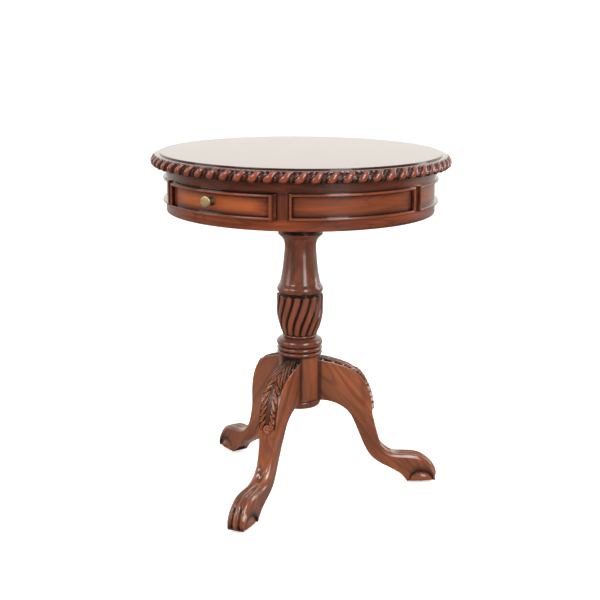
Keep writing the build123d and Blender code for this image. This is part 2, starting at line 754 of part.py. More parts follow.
with BuildPart() as leg_blank:
    with BuildSketch(radial_plane(0)):
        with BuildLine():
            upper = Spline(*knee_edge, *ankle_edge, *foot_edge)
            bevel = Line(upper @ 1, toe_tip)
            lower = Spline(*under_edge)
            Line(bevel @ 1, lower @ 1)
            Line(lower @ 0, upper @ 0)
        make_face()
    extrude(amount=foot_width, both=True)
    with BuildSketch(Plane.XY):
        with BuildLine():
            root = Line((0, knee_width / 2), (hub_radius + 90, knee_width / 2))
            shank = Spline(
                root @ 1,
                (foot_radius - 80, leg_width / 2),
                tangents=[(1, 0), (1, 0)],
            )
            flare = Spline(
                shank @ 1,
                (foot_radius, foot_width / 2),
                (foot_radius + 24, foot_width / 2 - 1),
                tangents=[(1, 0), (1, -0.2)],
            )
            ThreePointArc(flare @ 1, (foot_radius + 36, 0), (foot_radius + 24, 1 - foot_width / 2))
            mirror(root, about=Plane.XZ)
            mirror(shank, about=Plane.XZ)
            mirror(flare, about=Plane.XZ)
            Line((0, knee_width / 2), (0, -knee_width / 2))
        make_face()
    extrude(amount=vase_bottom, mode=Mode.INTERSECT)
    # Seen along the leg, the knee tapers to the shank and the ankle widens to the foot
    with BuildSketch(Plane.YZ):
        with BuildLine():
            cheek = Line((knee_width / 2, vase_bottom), (knee_width / 2, hub_underside + 40))
            taper = Spline(
                cheek @ 1,
                (leg_width / 2, foot_clearance + 105),
                (foot_width / 2, foot_clearance + 58),
                tangents=[(0, -1), (0.3, -1)],
            )
            heel_side = Line(taper @ 1, (foot_width / 2, 0))
            mirror(cheek, about=Plane.YZ)
            mirror(taper, about=Plane.YZ)
            mirror(heel_side, about=Plane.YZ)
            Line((foot_width / 2, 0), (-foot_width / 2, 0))
            Line((knee_width / 2, vase_bottom), (-knee_width / 2, vase_bottom))
        make_face()
    extrude(amount=foot_radius + foot_width, mode=Mode.INTERSECT)
    add(knee_leaf.part)
    with Locations(Location((knee_edge[-1][0], 0, knee_edge[-1][1]), (0, 90, 0))):
        Cylinder(scroll_radius, 2 * leaf_tip_rise)
    # Two grooves part the three toes
    with BuildSketch(radial_plane(0)):
        with BuildLine():
            toe_crest = Spline(*moved(foot_edge, toe_groove_depth, toe_groove_depth))
            toe_bed = Spline(*moved(foot_edge, 0, -toe_groove_depth))
            Line(toe_crest @ 0, toe_bed @ 0)
            heel = Line(toe_crest @ 1, (toe_tip[0] + 2 * toe_groove_depth, foot_clearance - toe_groove_depth))
            floor = Line(heel @ 1, (toe_tip[0] - toe_groove_depth, foot_clearance - toe_groove_depth))
            Line(floor @ 1, toe_bed @ 1)
        make_face()
    groove_band = extrude(amount=toe_groove_width / 2, both=True, mode=Mode.PRIVATE)
    with Locations((0, -toe_groove_spacing / 2, 0), (0, toe_groove_spacing / 2, 0)):
        add(groove_band, mode=Mode.SUBTRACT)
    # Shallow arches hollow the sides of the foot
    for side in (1, -1):
        with BuildSketch(radial_plane(0).offset(side * (foot_width / 2 - arch_depth))):
            with BuildLine():
                arch = ThreePointArc(
                    (foot_radius - arch_length / 2, foot_clearance),
                    (foot_radius, foot_clearance + arch_height),
                    (foot_radius + arch_length / 2, foot_clearance),
                )
                Line(arch @ 1, arch @ 0)
            make_face()
        extrude(amount=side * foot_width, mode=Mode.SUBTRACT)
    # One more hollows the heel, square to its slope
    heel_top, heel_foot = under_edge[-2:]
    heel_face = Plane(
        origin=(heel_foot[0], 0, heel_foot[1]),
        x_dir=(0, 1, 0),
        z_dir=(heel_top[1] - heel_foot[1], 0, heel_foot[0] - heel_top[0]),
    )
    with BuildSketch(heel_face.offset(arch_depth)):
        with BuildLine():
            arch = ThreePointArc(
                (-heel_arch_width / 2, -arch_depth), (0, heel_arch_height), (heel_arch_width / 2, -arch_depth)
            )
            Line(arch @ 1, arch @ 0)
        make_face()
    extrude(amount=-foot_width, mode=Mode.SUBTRACT)
    with Locations((foot_radius, 0, foot_clearance)):
        Cylinder(glide_pin_radius + bolt_gap, 2 * glide_pin_length, mode=Mode.SUBTRACT)
    # The inner end is scribed to the hub and keeps a dovetail tongue
    add(hub_blank(glue_line), mode=Mode.SUBTRACT)
    with Locations((0, 0, tongue_bottom)):
        add(extrude(tongue_outline(0), tongue_height, mode=Mode.PRIVATE))

with BuildPart() as turned_glide:
    with BuildSketch(Plane.XZ):
        with BuildLine():
            pad = Line((0, 0), (glide_radius / 2, 0))
            dome = ThreePointArc(
                pad @ 1,
                (glide_radius * 0.87, foot_clearance * 0.35),
                (glide_radius, foot_clearance),
            )
            shelf = Line(dome @ 1, (glide_pin_radius, foot_clearance))
            pin = Line(shelf @ 1, (glide_pin_radius, foot_clearance + glide_pin_length - hole_spare))
            end = Line(pin @ 1, (0, foot_clearance + glide_pin_length - hole_spare))
            Line(end @ 1, pad @ 0)
        make_face()
    revolve(axis=Axis.Z)

for angle, place in zip(leg_angles, ("front", "right", "left")):
    with BuildPart() as leg:
        with Locations(Rotation(0, 0, angle)):
            add(leg_blank.part)
    save(leg, f"leg_{place}")

    with BuildPart() as glide:
        with PolarLocations(foot_radius, 1, start_angle=angle):
            add(turned_glide.part)
    save(glide, f"glide_{place}")
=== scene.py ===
import json
import math

import bmesh
import bpy
import numpy as np
from mathutils import Matrix


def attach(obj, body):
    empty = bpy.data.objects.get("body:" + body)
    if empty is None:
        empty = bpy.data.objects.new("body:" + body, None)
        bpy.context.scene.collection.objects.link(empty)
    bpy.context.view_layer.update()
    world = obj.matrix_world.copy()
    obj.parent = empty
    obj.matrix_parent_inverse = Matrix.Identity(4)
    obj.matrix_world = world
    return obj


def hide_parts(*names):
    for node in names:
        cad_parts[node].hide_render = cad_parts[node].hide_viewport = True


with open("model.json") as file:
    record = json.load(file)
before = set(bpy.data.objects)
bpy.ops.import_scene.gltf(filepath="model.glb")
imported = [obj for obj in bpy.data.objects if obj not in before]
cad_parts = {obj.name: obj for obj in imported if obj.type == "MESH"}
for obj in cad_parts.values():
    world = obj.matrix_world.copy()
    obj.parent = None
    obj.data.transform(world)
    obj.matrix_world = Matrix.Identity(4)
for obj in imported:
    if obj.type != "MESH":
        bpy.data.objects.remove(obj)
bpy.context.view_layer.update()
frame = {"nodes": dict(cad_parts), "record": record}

MM = 0.001

# Sizes in millimetres, close to those of the solids
BOARD_RADIUS = 281.7
TOP_FACE = 708.0
TOP_UNDERSIDE = 681.0
RIM_TOP = 704.6
RIM_RADIUS = 299.9
OVOLO = 13.5
LOBES = 64
DRUM_RADIUS = 269.0
DRUM_BOTTOM = 591.0
RAIL_INNER = 249.0
BAY_FLOOR = 612.0
BAY_HEAD = 660.5
FIELD_RADIUS = 268.0
BEAD_RADIUS = 275.5
BEAD_WIDTH = 4.7
PANEL_ANGLE = 56.4
STILE_ANGLE = 3.5
PANELS = 5
DRAWER_HALF = 121.2
DRAWER_AJAR = 8.0
DRAWER_LOW = 613.0
DRAWER_HIGH = 659.5
OPENING_HALF = 122.0
PANEL_THICKNESS = 14.0
FRONT_THICKNESS = 18.0
KNOB_HEIGHT = 639.5
VASE_BOTTOM = 332.0
VASE_TOP = 418.5
REEDS = 16
REED_TWIST = math.radians(27)
REED_START = math.radians(-7.8)
HUB_RADIUS = 42.5
LEG_TURNS = {"leg_front": -78.2, "leg_right": 41.8, "leg_left": 161.8}
KNEE_HALF = 20.5
SHANK_HALF = 17.0
FOOT_HALF = 20.0
FOOT_BOTTOM = 6.0
LEAF_HALF = 16.0

# Degrees about the table's axis, with the middle of the drawer at -90
FIRST_PANEL = -90 + (360 - PANELS * PANEL_ANGLE - (PANELS - 1) * STILE_ANGLE) / 2
OPENING_ANGLE = math.degrees(math.asin(OPENING_HALF / DRUM_RADIUS))


# Numbers and curves
def ease(low, high, value):
    """0 below low, 1 above high, and a smooth step between."""
    share = np.clip((value - low) / (high - low), 0, 1)
    return share * share * (3 - 2 * share)


def hump(value, middle, width):
    """A soft bump of height 1 round middle."""
    return np.exp(-((value - middle) / width) ** 2)


def flow(points, count):
    """count points, evenly spaced, on a smooth curve through the given ones."""
    points = np.asarray(points, float)
    steps = np.linalg.norm(np.diff(points, axis=0), axis=1)
    knots = np.concatenate([[0.0], np.cumsum(steps)])
    slopes = np.gradient(points, knots, axis=0)
    fine = np.linspace(0, knots[-1], 12 * count)
    index = np.clip(np.searchsorted(knots, fine, side="right") - 1, 0, len(steps) - 1)
    span = steps[index][:, None]
    share = (fine - knots[index])[:, None] / span
    curve = (
        (2 * share**3 - 3 * share**2 + 1) * points[index]
        + (share**3 - 2 * share**2 + share) * span * slopes[index]
        + (3 * share**2 - 2 * share**3) * points[index + 1]
        + (share**3 - share**2) * span * slopes[index + 1]
    )
    run = np.concatenate([[0.0], np.cumsum(np.linalg.norm(np.diff(curve, axis=0), axis=1))])
    even = np.linspace(0, run[-1], count)
    return np.stack([np.interp(even, run, column) for column in curve.T], axis=1)


def arc(centre, radius, start, end, count):
    """Points on a circular arc in the plane of an outline."""
    turn = np.radians(np.linspace(start, end, count))
    return np.stack([centre[0] + radius * np.cos(turn), centre[1] + radius * np.sin(turn)], axis=1)


def straight(start, end, count):
    """Points on a straight line in the plane of an outline."""
    return np.linspace(np.asarray(start, float), np.asarray(end, float), count)


# Meshes
def skin(rows, columns, rows_close):
    """Quads over a grid of points that goes round along its columns, and along its rows if they close."""
    row = np.arange(rows if rows_close else rows - 1)
    row, column = np.meshgrid(row, np.arange(columns), indexing="ij")
    row_after = (row + 1) % rows
    column_after = (column + 1) % columns
    quads = [
        row * columns + column,
        row * columns + column_after,
        row_after * columns + column_after,
        row_after * columns + column,
    ]
    return np.stack(quads, axis=-1).reshape(-1, 4).tolist()


def capped(rows, columns):
    """The same over a long form, with a flat face at each end."""
    last = (rows - 1) * columns
    return skin(rows, columns, False) + [list(range(columns)), list(range(last, last + columns))]


def all_round(steps):
    """Even turns in radians, all the way round."""
    return np.linspace(0, 2 * math.pi, steps, endpoint=False)[None, :]


def spun(turn, radius, height):
    """Points at a turn in radians, a radius and a height about the table's axis."""
    turn, radius, height = np.broadcast_arrays(turn, radius, height)
    return np.stack([radius * np.cos(turn), radius * np.sin(turn), height], axis=-1)


def turned(outline, steps):
    """Points and faces of a turned form: an outline of radius and height, spun about the table's axis."""
    points = spun(all_round(steps), outline[:, :1], outline[:, 1:])
    return points, capped(len(outline), steps)


def add_object(name, data):
    """Puts a mesh, a lamp or a camera in the scene."""
    thing = bpy.data.objects.new(name, data)
    bpy.context.scene.collection.objects.link(thing)
    return thing


def place_piece(node, points, faces, finish, glaze_and_shade, rub_and_highlight=None, grain=None, body="table"):
    """Makes the piece that stands for a solid, from points in millimetres, with what its finish reads."""
    mesh = bpy.data.meshes.new(node + "_piece")
    mesh.from_pydata((points.reshape(-1, 3) * MM).tolist(), [], faces)
    work = bmesh.new()
    work.from_mesh(mesh)
    bmesh.ops.recalc_face_normals(work, faces=work.faces)
    work.to_mesh(mesh)
    work.free()
    for layer, values in (("glaze_and_shade", glaze_and_shade), ("rub_and_highlight", rub_and_highlight), ("grain", grain)):
        if values is None:
            continue
        kind, field, unit = ("FLOAT_VECTOR", "vector", MM) if layer == "grain" else ("FLOAT", "value", 1.0)
        mesh.attributes.new(layer, kind, "POINT")
        mesh.attributes[layer].data.foreach_set(field, (values * unit).astype(np.float32).ravel())
    mesh.shade_smooth()
    mesh.set_sharp_from_angle(angle=math.radians(38))
    mesh.materials.append(finish)
    piece = add_object(node + "_piece", mesh)
    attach(piece, body)
    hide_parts(node)


# Finishes
def tint(code):
    """An sRGB hex colour as the linear colour that a shader takes."""
    shares = [int(code[place:place + 2], 16) / 255 for place in (1, 3, 5)]
    return tuple(s / 12.92 if s <= 0.04045 else ((s + 0.055) / 1.055) ** 2.4 for s in shares) + (1.0,)


def add_node(tree, kind, inputs, **settings):
    """Adds a shader node with its settings, and feeds each input by a link or a plain value."""
    node = tree.nodes.new("ShaderNode" + kind)
    for name, value in settings.items():
        setattr(node, name, value)
    for name, value in inputs.items():
        if isinstance(value, bpy.types.NodeSocket):
            tree.links.new(value, node.inputs[name])
        else:
            node.inputs[name].default_value = value
    return node


def set_tones(node, tones):
    """Gives a colour ramp its tones, each with its place, from the lowest up."""
    stops = node.color_ramp.elements
    while len(stops) < len(tones):
        stops.new(1.0)
    for stop, (place, code) in zip(stops, tones):
        stop.position = place
        stop.color = tint(code)


def new_finish(name):
    """An empty finish and its tree of nodes."""
    finish = bpy.data.materials.new(name)
    finish.use_nodes = True
    finish.node_tree.nodes.clear()
    return finish, finish.node_tree


def polished_mahogany(name, pale, middle, dark, band_mm, streak_mm, contrast, softness):
    """Mahogany under antique glaze and clear lacquer.

    Straight grain gives long soft bands and fine streaks. Near-black glaze lies in the carving and the
    corners, and with it painted shade in hollows, creases and under overhangs; edges are rubbed back to a
    warmer brown, which also paints highlights on raised parts; and the lacquer gives a bright reflection
    over all, softer on the turned and sawn pieces than on the flat top.
    """
    finish, tree = new_finish(name)
    grain, glaze_and_shade, rub_and_highlight = [
        add_node(tree, "Attribute", {}, attribute_name=layer) for layer in ("grain", "glaze_and_shade", "rub_and_highlight")
    ]

    def along_grain(lengthwise, crosswise, detail, roughness=0.5, distortion=0.0):
        """Noise drawn out along the grain, by how often it changes in a metre along it and across it."""
        stretch = add_node(tree, "VectorMath", {
            0: grain.outputs["Vector"], 1: (lengthwise, crosswise, crosswise),
        }, operation="MULTIPLY")
        noise = add_node(tree, "TexNoise", {
            "Vector": stretch.outputs[0], "Scale": 1.0, "Detail": detail,
            "Roughness": roughness, "Distortion": distortion,
        })
        return noise.outputs["Fac"]

    bands = along_grain(70 / band_mm, 1000 / band_mm, 2.0, distortion=0.6)
    streaks = along_grain(45 / streak_mm, 1000 / streak_mm, 3.0, roughness=0.6)
    figure = add_node(tree, "Mix", {0: 0.3, 2: bands, 3: streaks}, data_type="FLOAT")
    wood = add_node(tree, "ValToRGB", {"Fac": figure.outputs[0]})
    set_tones(wood, ((0.5 - contrast, dark), (0.5, middle), (0.5 + contrast, pale)))
    # Dark growth lines, wider apart than the bands, wander along the same grain
    rings = along_grain(60 / band_mm, 450 / band_mm, 1.0, distortion=0.4)
    ring_off = add_node(tree, "Math", {0: rings, 1: 0.055}, operation="PINGPONG")
    ring_line = add_node(tree, "MapRange", {
        "Value": ring_off.outputs[0], "From Min": 0.0, "From Max": 0.025, "To Min": 0.55, "To Max": 0.0,
    })
    # The glaze is brushed on, so its edge is uneven; the painted shade that goes with it is broken up the
    # same way
    uneven = add_node(tree, "Math", {0: streaks, 1: 0.5, 2: 0.75}, operation="MULTIPLY_ADD")
    uneven_glaze_and_shade = add_node(tree, "Math", {
        0: glaze_and_shade.outputs["Fac"], 1: uneven.outputs[0],
    }, operation="MULTIPLY", use_clamp=True)
    # Growth lines, rubbed edges with painted highlights, and glaze with painted shade lie over the wood in
    # that order
    colour = wood.outputs["Color"]
    for amount, code in (
        (ring_line.outputs[0], dark), (rub_and_highlight.outputs["Fac"], "#b8602a"), (uneven_glaze_and_shade.outputs[0], "#1a1210"),
    ):
        colour = add_node(tree, "Mix", {0: amount, 6: colour, 7: tint(code)}, data_type="RGBA").outputs[2]
    # Open pores about 0.4 mm wide, drawn at 0.8 mm so that they show
    pores = along_grain(90.0, 1250.0, 1.0)
    relief = add_node(tree, "Bump", {"Strength": 0.06, "Distance": 0.0004, "Height": pores})
    polish = add_node(tree, "MapRange", {
        "Value": streaks, "From Min": 0.3, "From Max": 0.7, "To Min": 0.3, "To Max": 0.42,
    })
    shader = add_node(tree, "BsdfPrincipled", {
        "Base Color": colour, "Roughness": polish.outputs[0], "IOR": 1.5,
        "Specular IOR Level": 0.2, "Normal": relief.outputs[0],
        "Coat Weight": 1.0, "Coat Roughness": softness, "Coat IOR": 1.5,
    })
    add_node(tree, "OutputMaterial", {"Surface": shader.outputs[0]})
    return finish


def drawer_lining_wood():
    """Plain sawn poplar for the drawer box and the parts inside the drum: pale, matte, with faint grain."""
    finish, tree = new_finish("drawer_lining_poplar")
    place = add_node(tree, "TexCoord", {})
    # Bands about 7 mm wide, drawn out from front to back
    stretch = add_node(tree, "VectorMath", {
        0: place.outputs["Object"], 1: (140.0, 9.0, 140.0),
    }, operation="MULTIPLY")
    grain = add_node(tree, "TexNoise", {
        "Vector": stretch.outputs[0], "Scale": 1.0, "Detail": 4.0, "Roughness": 0.6,
    })
    wood = add_node(tree, "ValToRGB", {"Fac": grain.outputs["Fac"]})
    set_tones(wood, ((0.32, "#7d5a3a"), (0.68, "#a98258")))
    relief = add_node(tree, "Bump", {"Strength": 0.15, "Distance": 0.0003, "Height": grain.outputs["Fac"]})
    shader = add_node(tree, "BsdfPrincipled", {
        "Base Color": wood.outputs["Color"], "Roughness": 0.62, "IOR": 1.5, "Normal": relief.outputs[0],
    })
    add_node(tree, "OutputMaterial", {"Surface": shader.outputs[0]})
    return finish


def aged_brass():
    """Cast brass, turned and left to tarnish: a dull gold with browner patches and a soft reflection."""
    finish, tree = new_finish("aged_brass")
    place = add_node(tree, "TexCoord", {})
    # Patches about 4 mm across
    patches = add_node(tree, "TexNoise", {"Vector": place.outputs["Object"], "Scale": 250.0, "Detail": 3.0})
    tarnish = add_node(tree, "ValToRGB", {"Fac": patches.outputs["Fac"]})
    set_tones(tarnish, ((0.35, "#b49a70"), (0.65, "#cdb38a")))
    dull = add_node(tree, "MapRange", {
        "Value": patches.outputs["Fac"], "From Min": 0.3, "From Max": 0.7, "To Min": 0.62, "To Max": 0.5,
    })
    # Painted shade: behind the knob's face, where the glaze attribute marks it, the brass is mixed towards
    # a dark brown
    glaze_and_shade = add_node(tree, "Attribute", {}, attribute_name="glaze_and_shade")
    colour = add_node(tree, "Mix", {
        0: glaze_and_shade.outputs["Fac"], 6: tarnish.outputs["Color"], 7: tint("#5b4436"),
    }, data_type="RGBA")
    shader = add_node(tree, "BsdfPrincipled", {
        "Base Color": colour.outputs[2], "Metallic": 1.0, "Roughness": dull.outputs[0],
    })
    add_node(tree, "OutputMaterial", {"Surface": shader.outputs[0]})
    return finish


def plated_steel():
    """Zinc plated steel for the hidden screws, rod, nuts and washers: grey, with a faint spangle."""
    finish, tree = new_finish("zinc_plated_steel")
    place = add_node(tree, "TexCoord", {})
    # Spangle about 2 mm across
    spangle = add_node(tree, "TexVoronoi", {"Vector": place.outputs["Object"], "Scale": 500.0})
    dull = add_node(tree, "MapRange", {"Value": spangle.outputs["Distance"], "To Min": 0.3, "To Max": 0.5})
    shader = add_node(tree, "BsdfPrincipled", {
        "Base Color": tint("#b4b6b8"), "Metallic": 1.0, "Roughness": dull.outputs[0],
    })
    add_node(tree, "OutputMaterial", {"Surface": shader.outputs[0]})
    return finish


def glide_nylon():
    """Dark brown moulded nylon under the feet: satin, with a fine moulded grain."""
    finish, tree = new_finish("moulded_nylon")
    place = add_node(tree, "TexCoord", {})
    # Moulded grain about 0.8 mm across
    mould = add_node(tree, "TexNoise", {"Vector": place.outputs["Object"], "Scale": 1200.0})
    relief = add_node(tree, "Bump", {"Strength": 0.1, "Distance": 0.0002, "Height": mould.outputs["Fac"]})
    shader = add_node(tree, "BsdfPrincipled", {
        "Base Color": tint("#3a1d14"), "Roughness": 0.45, "IOR": 1.53, "Normal": relief.outputs[0],
    })
    add_node(tree, "OutputMaterial", {"Surface": shader.outputs[0]})
    return finish


top_mahogany = polished_mahogany(
    "polished_mahogany_top", "#6d3a24", "#5f321e", "#522a19", 22, 4.0, 0.35, 0.07)
drum_mahogany = polished_mahogany(
    "polished_mahogany_drum", "#803b1a", "#652d17", "#452115", 14, 2.5, 0.17, 0.09)
column_mahogany = polished_mahogany(
    "polished_mahogany_column", "#7a4027", "#663523", "#4b291d", 14, 2.5, 0.2, 0.17)
leg_mahogany = polished_mahogany(
    "polished_mahogany_legs", "#93512e", "#7a4227", "#4f2c1f", 24, 3.0, 0.19, 0.1)
# The carving and the rim take the most glaze and painted shade
carved_mahogany = polished_mahogany(
    "mahogany_carving_glazed_and_shaded", "#7e432b", "#6d3825", "#5a3022", 12, 2.5, 0.22, 0.1)
rim_mahogany = polished_mahogany(
    "mahogany_rim_glazed_and_shaded", "#7a3019", "#652713", "#4d1e12", 12, 2.5, 0.22, 0.08)
lining = drawer_lining_wood()
brass = aged_brass()
steel = plated_steel()
nylon = glide_nylon()


def ring_grain(points):
    """Grain that runs round the drum: its seam is at the rear."""
    x, y, z = np.moveaxis(points, -1, 0)
    veneer_radius = 270.0
    return np.stack([np.arctan2(x, -y) * veneer_radius, z, np.hypot(x, y)], axis=-1)


def upright_grain(points):
    """Grain that runs up a turned piece."""
    x, y, z = np.moveaxis(points, -1, 0)
    return np.stack([z, x, y], axis=-1)


# Top board: a flat veneered disc with a softened edge, darkened with glaze and painted shade
def build_top():
    outline = np.concatenate([
        straight((20, TOP_UNDERSIDE), (BOARD_RADIUS, TOP_UNDERSIDE), 3),
        straight((BOARD_RADIUS, TOP_UNDERSIDE + 4), (BOARD_RADIUS, TOP_FACE - 1.4), 8),
        arc((BOARD_RADIUS - 1.2, TOP_FACE - 1.2), 1.2, 0, 90, 6),
        straight((BOARD_RADIUS - 2, TOP_FACE), (BOARD_RADIUS - 9, TOP_FACE), 5),
        straight((BOARD_RADIUS - 30, TOP_FACE), (15, TOP_FACE), 8),
    ])
    points, faces = turned(outline, 320)
    x, y, height = np.moveaxis(points, -1, 0)
    # Glaze and painted shade on the edge in the step above the rim, and a darker ring round the top face
    glaze_and_shade = 0.4 * (1 - ease(TOP_FACE - 1.4, TOP_FACE - 0.2, height))
    glaze_and_shade = glaze_and_shade + 0.4 * ease(BOARD_RADIUS - 3.2, BOARD_RADIUS - 0.7, outline[:, :1])
    grain = np.stack([0.8 * x + 0.6 * y, 0.8 * y - 0.6 * x, height], axis=-1)
    place_piece("top_board", points, faces, top_mahogany, glaze_and_shade.clip(0, 1), grain=grain)


# Gadrooned rim: slanted bulging lobes, each followed by a flute, darkened with glaze and painted shade,
# that holds a thin ridge
def build_rim():
    centre = (RIM_RADIUS - OVOLO, RIM_TOP - OVOLO)
    low = -math.degrees(math.asin((centre[1] - TOP_UNDERSIDE) / OVOLO))
    carved = arc(centre, OVOLO, 88, low, 40)
    outline = np.concatenate([
        straight((BOARD_RADIUS + 0.1, TOP_UNDERSIDE), (BOARD_RADIUS + 0.1, RIM_TOP), 4),
        carved,
        straight((carved[-1][0] - 3, TOP_UNDERSIDE), (BOARD_RADIUS + 2, TOP_UNDERSIDE), 3),
    ])
    steps = LOBES * 26
    turn = all_round(steps)
    radius, height = outline[:, :1], outline[:, 1:]
    below_edge = 1 - ease(RIM_TOP - 2.4, RIM_TOP - 0.7, height)
    outside = ease(BOARD_RADIUS + 3.0, BOARD_RADIUS + 5.5, radius)
    pitch = 2 * math.pi * RIM_RADIUS / LOBES
    rise = (height - TOP_UNDERSIDE) / (RIM_TOP - TOP_UNDERSIDE)
    up_arc = np.concatenate([np.ones(4), np.linspace(1, 0, len(carved)), np.zeros(3)])[:, None]
    slant = 9.0 * up_arc + 10.0 * up_arc**2
    phase = np.mod((turn * RIM_RADIUS - slant) / pitch, 1.0)
    lobe_half = 0.22 + 0.09 * np.sin(math.pi * np.clip(rise + 0.1, 0, 1))
    lobe_middle, ridge_middle = 0.29, 0.79
    across = (phase - lobe_middle) / lobe_half
    on_lobe = np.abs(across) < 1
    lobe = np.sqrt(np.clip(1 - across**2, 0, 1))
    ridge = hump(phase, ridge_middle, 0.055)
    depth = np.where(on_lobe, 4.6 * (1 - lobe), 5.2 - 3.0 * ridge)
    depth = depth * below_edge * outside + 2.6 * (1 - ease(0.0, 0.3, rise)) ** 2 * outside
    lean_r = np.clip((radius - centre[0]) / OVOLO, 0.2, 1) * outside
    lean_z = np.clip((height - centre[1]) / OVOLO, -0.2, 1) * outside
    points = spun(turn, radius - depth * lean_r, np.maximum(height - depth * lean_z, TOP_UNDERSIDE))
    # Glaze and painted shade in the flutes and at the lobes' edges, in the strip under the board's edge and
    # inside the rim
    hollow = np.where(on_lobe, 0.85 * ease(0.64, 1.0, np.abs(across)), 0.9 - 0.65 * ridge)
    glaze_and_shade = (hollow * below_edge + 0.65 * (1 - below_edge)) * outside + 0.6 * (1 - outside)
    # Painted shade where the lobes turn under
    glaze_and_shade = glaze_and_shade + 0.8 * (1 - ease(TOP_UNDERSIDE + 1, TOP_UNDERSIDE + 6, height))
    # Rubbing and a painted highlight on the crown of each lobe
    rub_and_highlight = 0.15 * lobe * on_lobe * below_edge * outside
    faces = skin(len(outline), steps, True)
    place_piece("gadroon_rim", points, faces, rim_mahogany, glaze_and_shade.clip(0, 1), rub_and_highlight, ring_grain(points))


def apart(turn, other):
    """Degrees between two directions."""
    return np.abs(np.mod(turn - other + 180, 360) - 180)


def panel_span(number):
    """First and last angle of a false panel."""
    start = FIRST_PANEL + number * (PANEL_ANGLE + STILE_ANGLE)
    return start, start + PANEL_ANGLE


def near_bay(turn, margin):
    """1 where an angle is inside a bay, fading over margin millimetres outside it."""
    bays = [panel_span(number) for number in range(PANELS)]
    bays.append((-90 - OPENING_ANGLE, -90 + OPENING_ANGLE))
    inside = 0 * turn
    for start, end in bays:
        off = apart(turn, (start + end) / 2) - (end - start) / 2
        inside = np.maximum(inside, 1 - ease(0, margin, np.radians(off) * DRUM_RADIUS))
    return inside


# Drum rails: two rings, darkened with glaze and painted shade where they meet the bead frames, the top one
# also with a painted shadow under the rim
def build_rails():
    soft = 1.6
    crisp_edge = straight((DRUM_RADIUS - 0.1, BAY_HEAD), (DRUM_RADIUS, BAY_HEAD + 0.1), 2)
    soft_edge = arc((DRUM_RADIUS - soft, DRUM_BOTTOM + soft), soft, -80, -10, 4)
    steps = 540
    turn = all_round(steps)
    bay = near_bay(np.degrees(turn), 5.0)
    for name, low, high, edge, along_grain in (
        ("drum_top_rail", BAY_HEAD, TOP_UNDERSIDE, crisp_edge, 0.0),
        ("drum_bottom_rail", DRUM_BOTTOM, BAY_FLOOR, soft_edge, 250.0),
    ):
        outline = np.concatenate([
            straight((RAIL_INNER, low), (DRUM_RADIUS - soft, low), 3),
            edge,
            straight((DRUM_RADIUS, low + soft), (DRUM_RADIUS, high), 22),
            straight((RAIL_INNER + 2, high), (RAIL_INNER, high - 2), 2),
        ])
        height = outline[:, 1:]
        points = spun(turn, outline[:, :1], height)
        if low == BAY_HEAD:
            # Glaze and painted shade in a dark line over each bead frame; the whole top rail a little
            # darker, partly glaze and partly painted shade of the rim
            glaze_and_shade = 0.95 * bay * (1 - ease(BAY_HEAD + 0.5, BAY_HEAD + 4.0, height)) + 0.12
            # Painted shadow of the rim's overhang, darker towards the top of the rail
            glaze_and_shade = glaze_and_shade + 0.45 * ease(TOP_UNDERSIDE - 13, TOP_UNDERSIDE - 1, height)
        else:
            # Glaze and painted shade in a dark line under each bead frame
            glaze_and_shade = 0.75 * bay * ease(BAY_FLOOR - 3.0, BAY_FLOOR - 0.2, height)
            # Painted shade on the rounded bottom edge
            glaze_and_shade = glaze_and_shade + 0.3 * (1 - ease(DRUM_BOTTOM + 1, DRUM_BOTTOM + 3, height))
        grain = ring_grain(points) + np.array([along_grain, 0.0, 0.0])
        faces = skin(len(outline), steps, True)
        place_piece(name, points, faces, drum_mahogany, glaze_and_shade.clip(0, 1), grain=grain)


def on_drum(turn, radius, height):
    """Points at a turn in degrees, a radius and a height."""
    return spun(np.radians(turn), radius, height)


def on_drawer(across, radius, height):
    """Points on the drawer's curve, at a distance from its middle."""
    return np.stack([across, -DRAWER_AJAR - np.sqrt(radius**2 - across**2), height], axis=-1)


def bent_bar(outline, stations, place):
    """A bar of one closed outline of radius and height, bent along the drum, with flat ends."""
    station, radius, height = np.broadcast_arrays(stations[:, None], outline[:, 0], outline[:, 1])
    return place(station, radius, height), capped(*radius.shape), station, radius, height


def board_outline(inner, outer, low, high):
    """Closed outline of a plain board, with points close together on its show face."""
    return np.concatenate([
        straight((inner, low), (outer - 0.01, low), 2),
        straight((outer, low + 0.3), (outer, high - 0.3), 30),
        straight((outer - 0.01, high), (inner, high), 2),
    ])


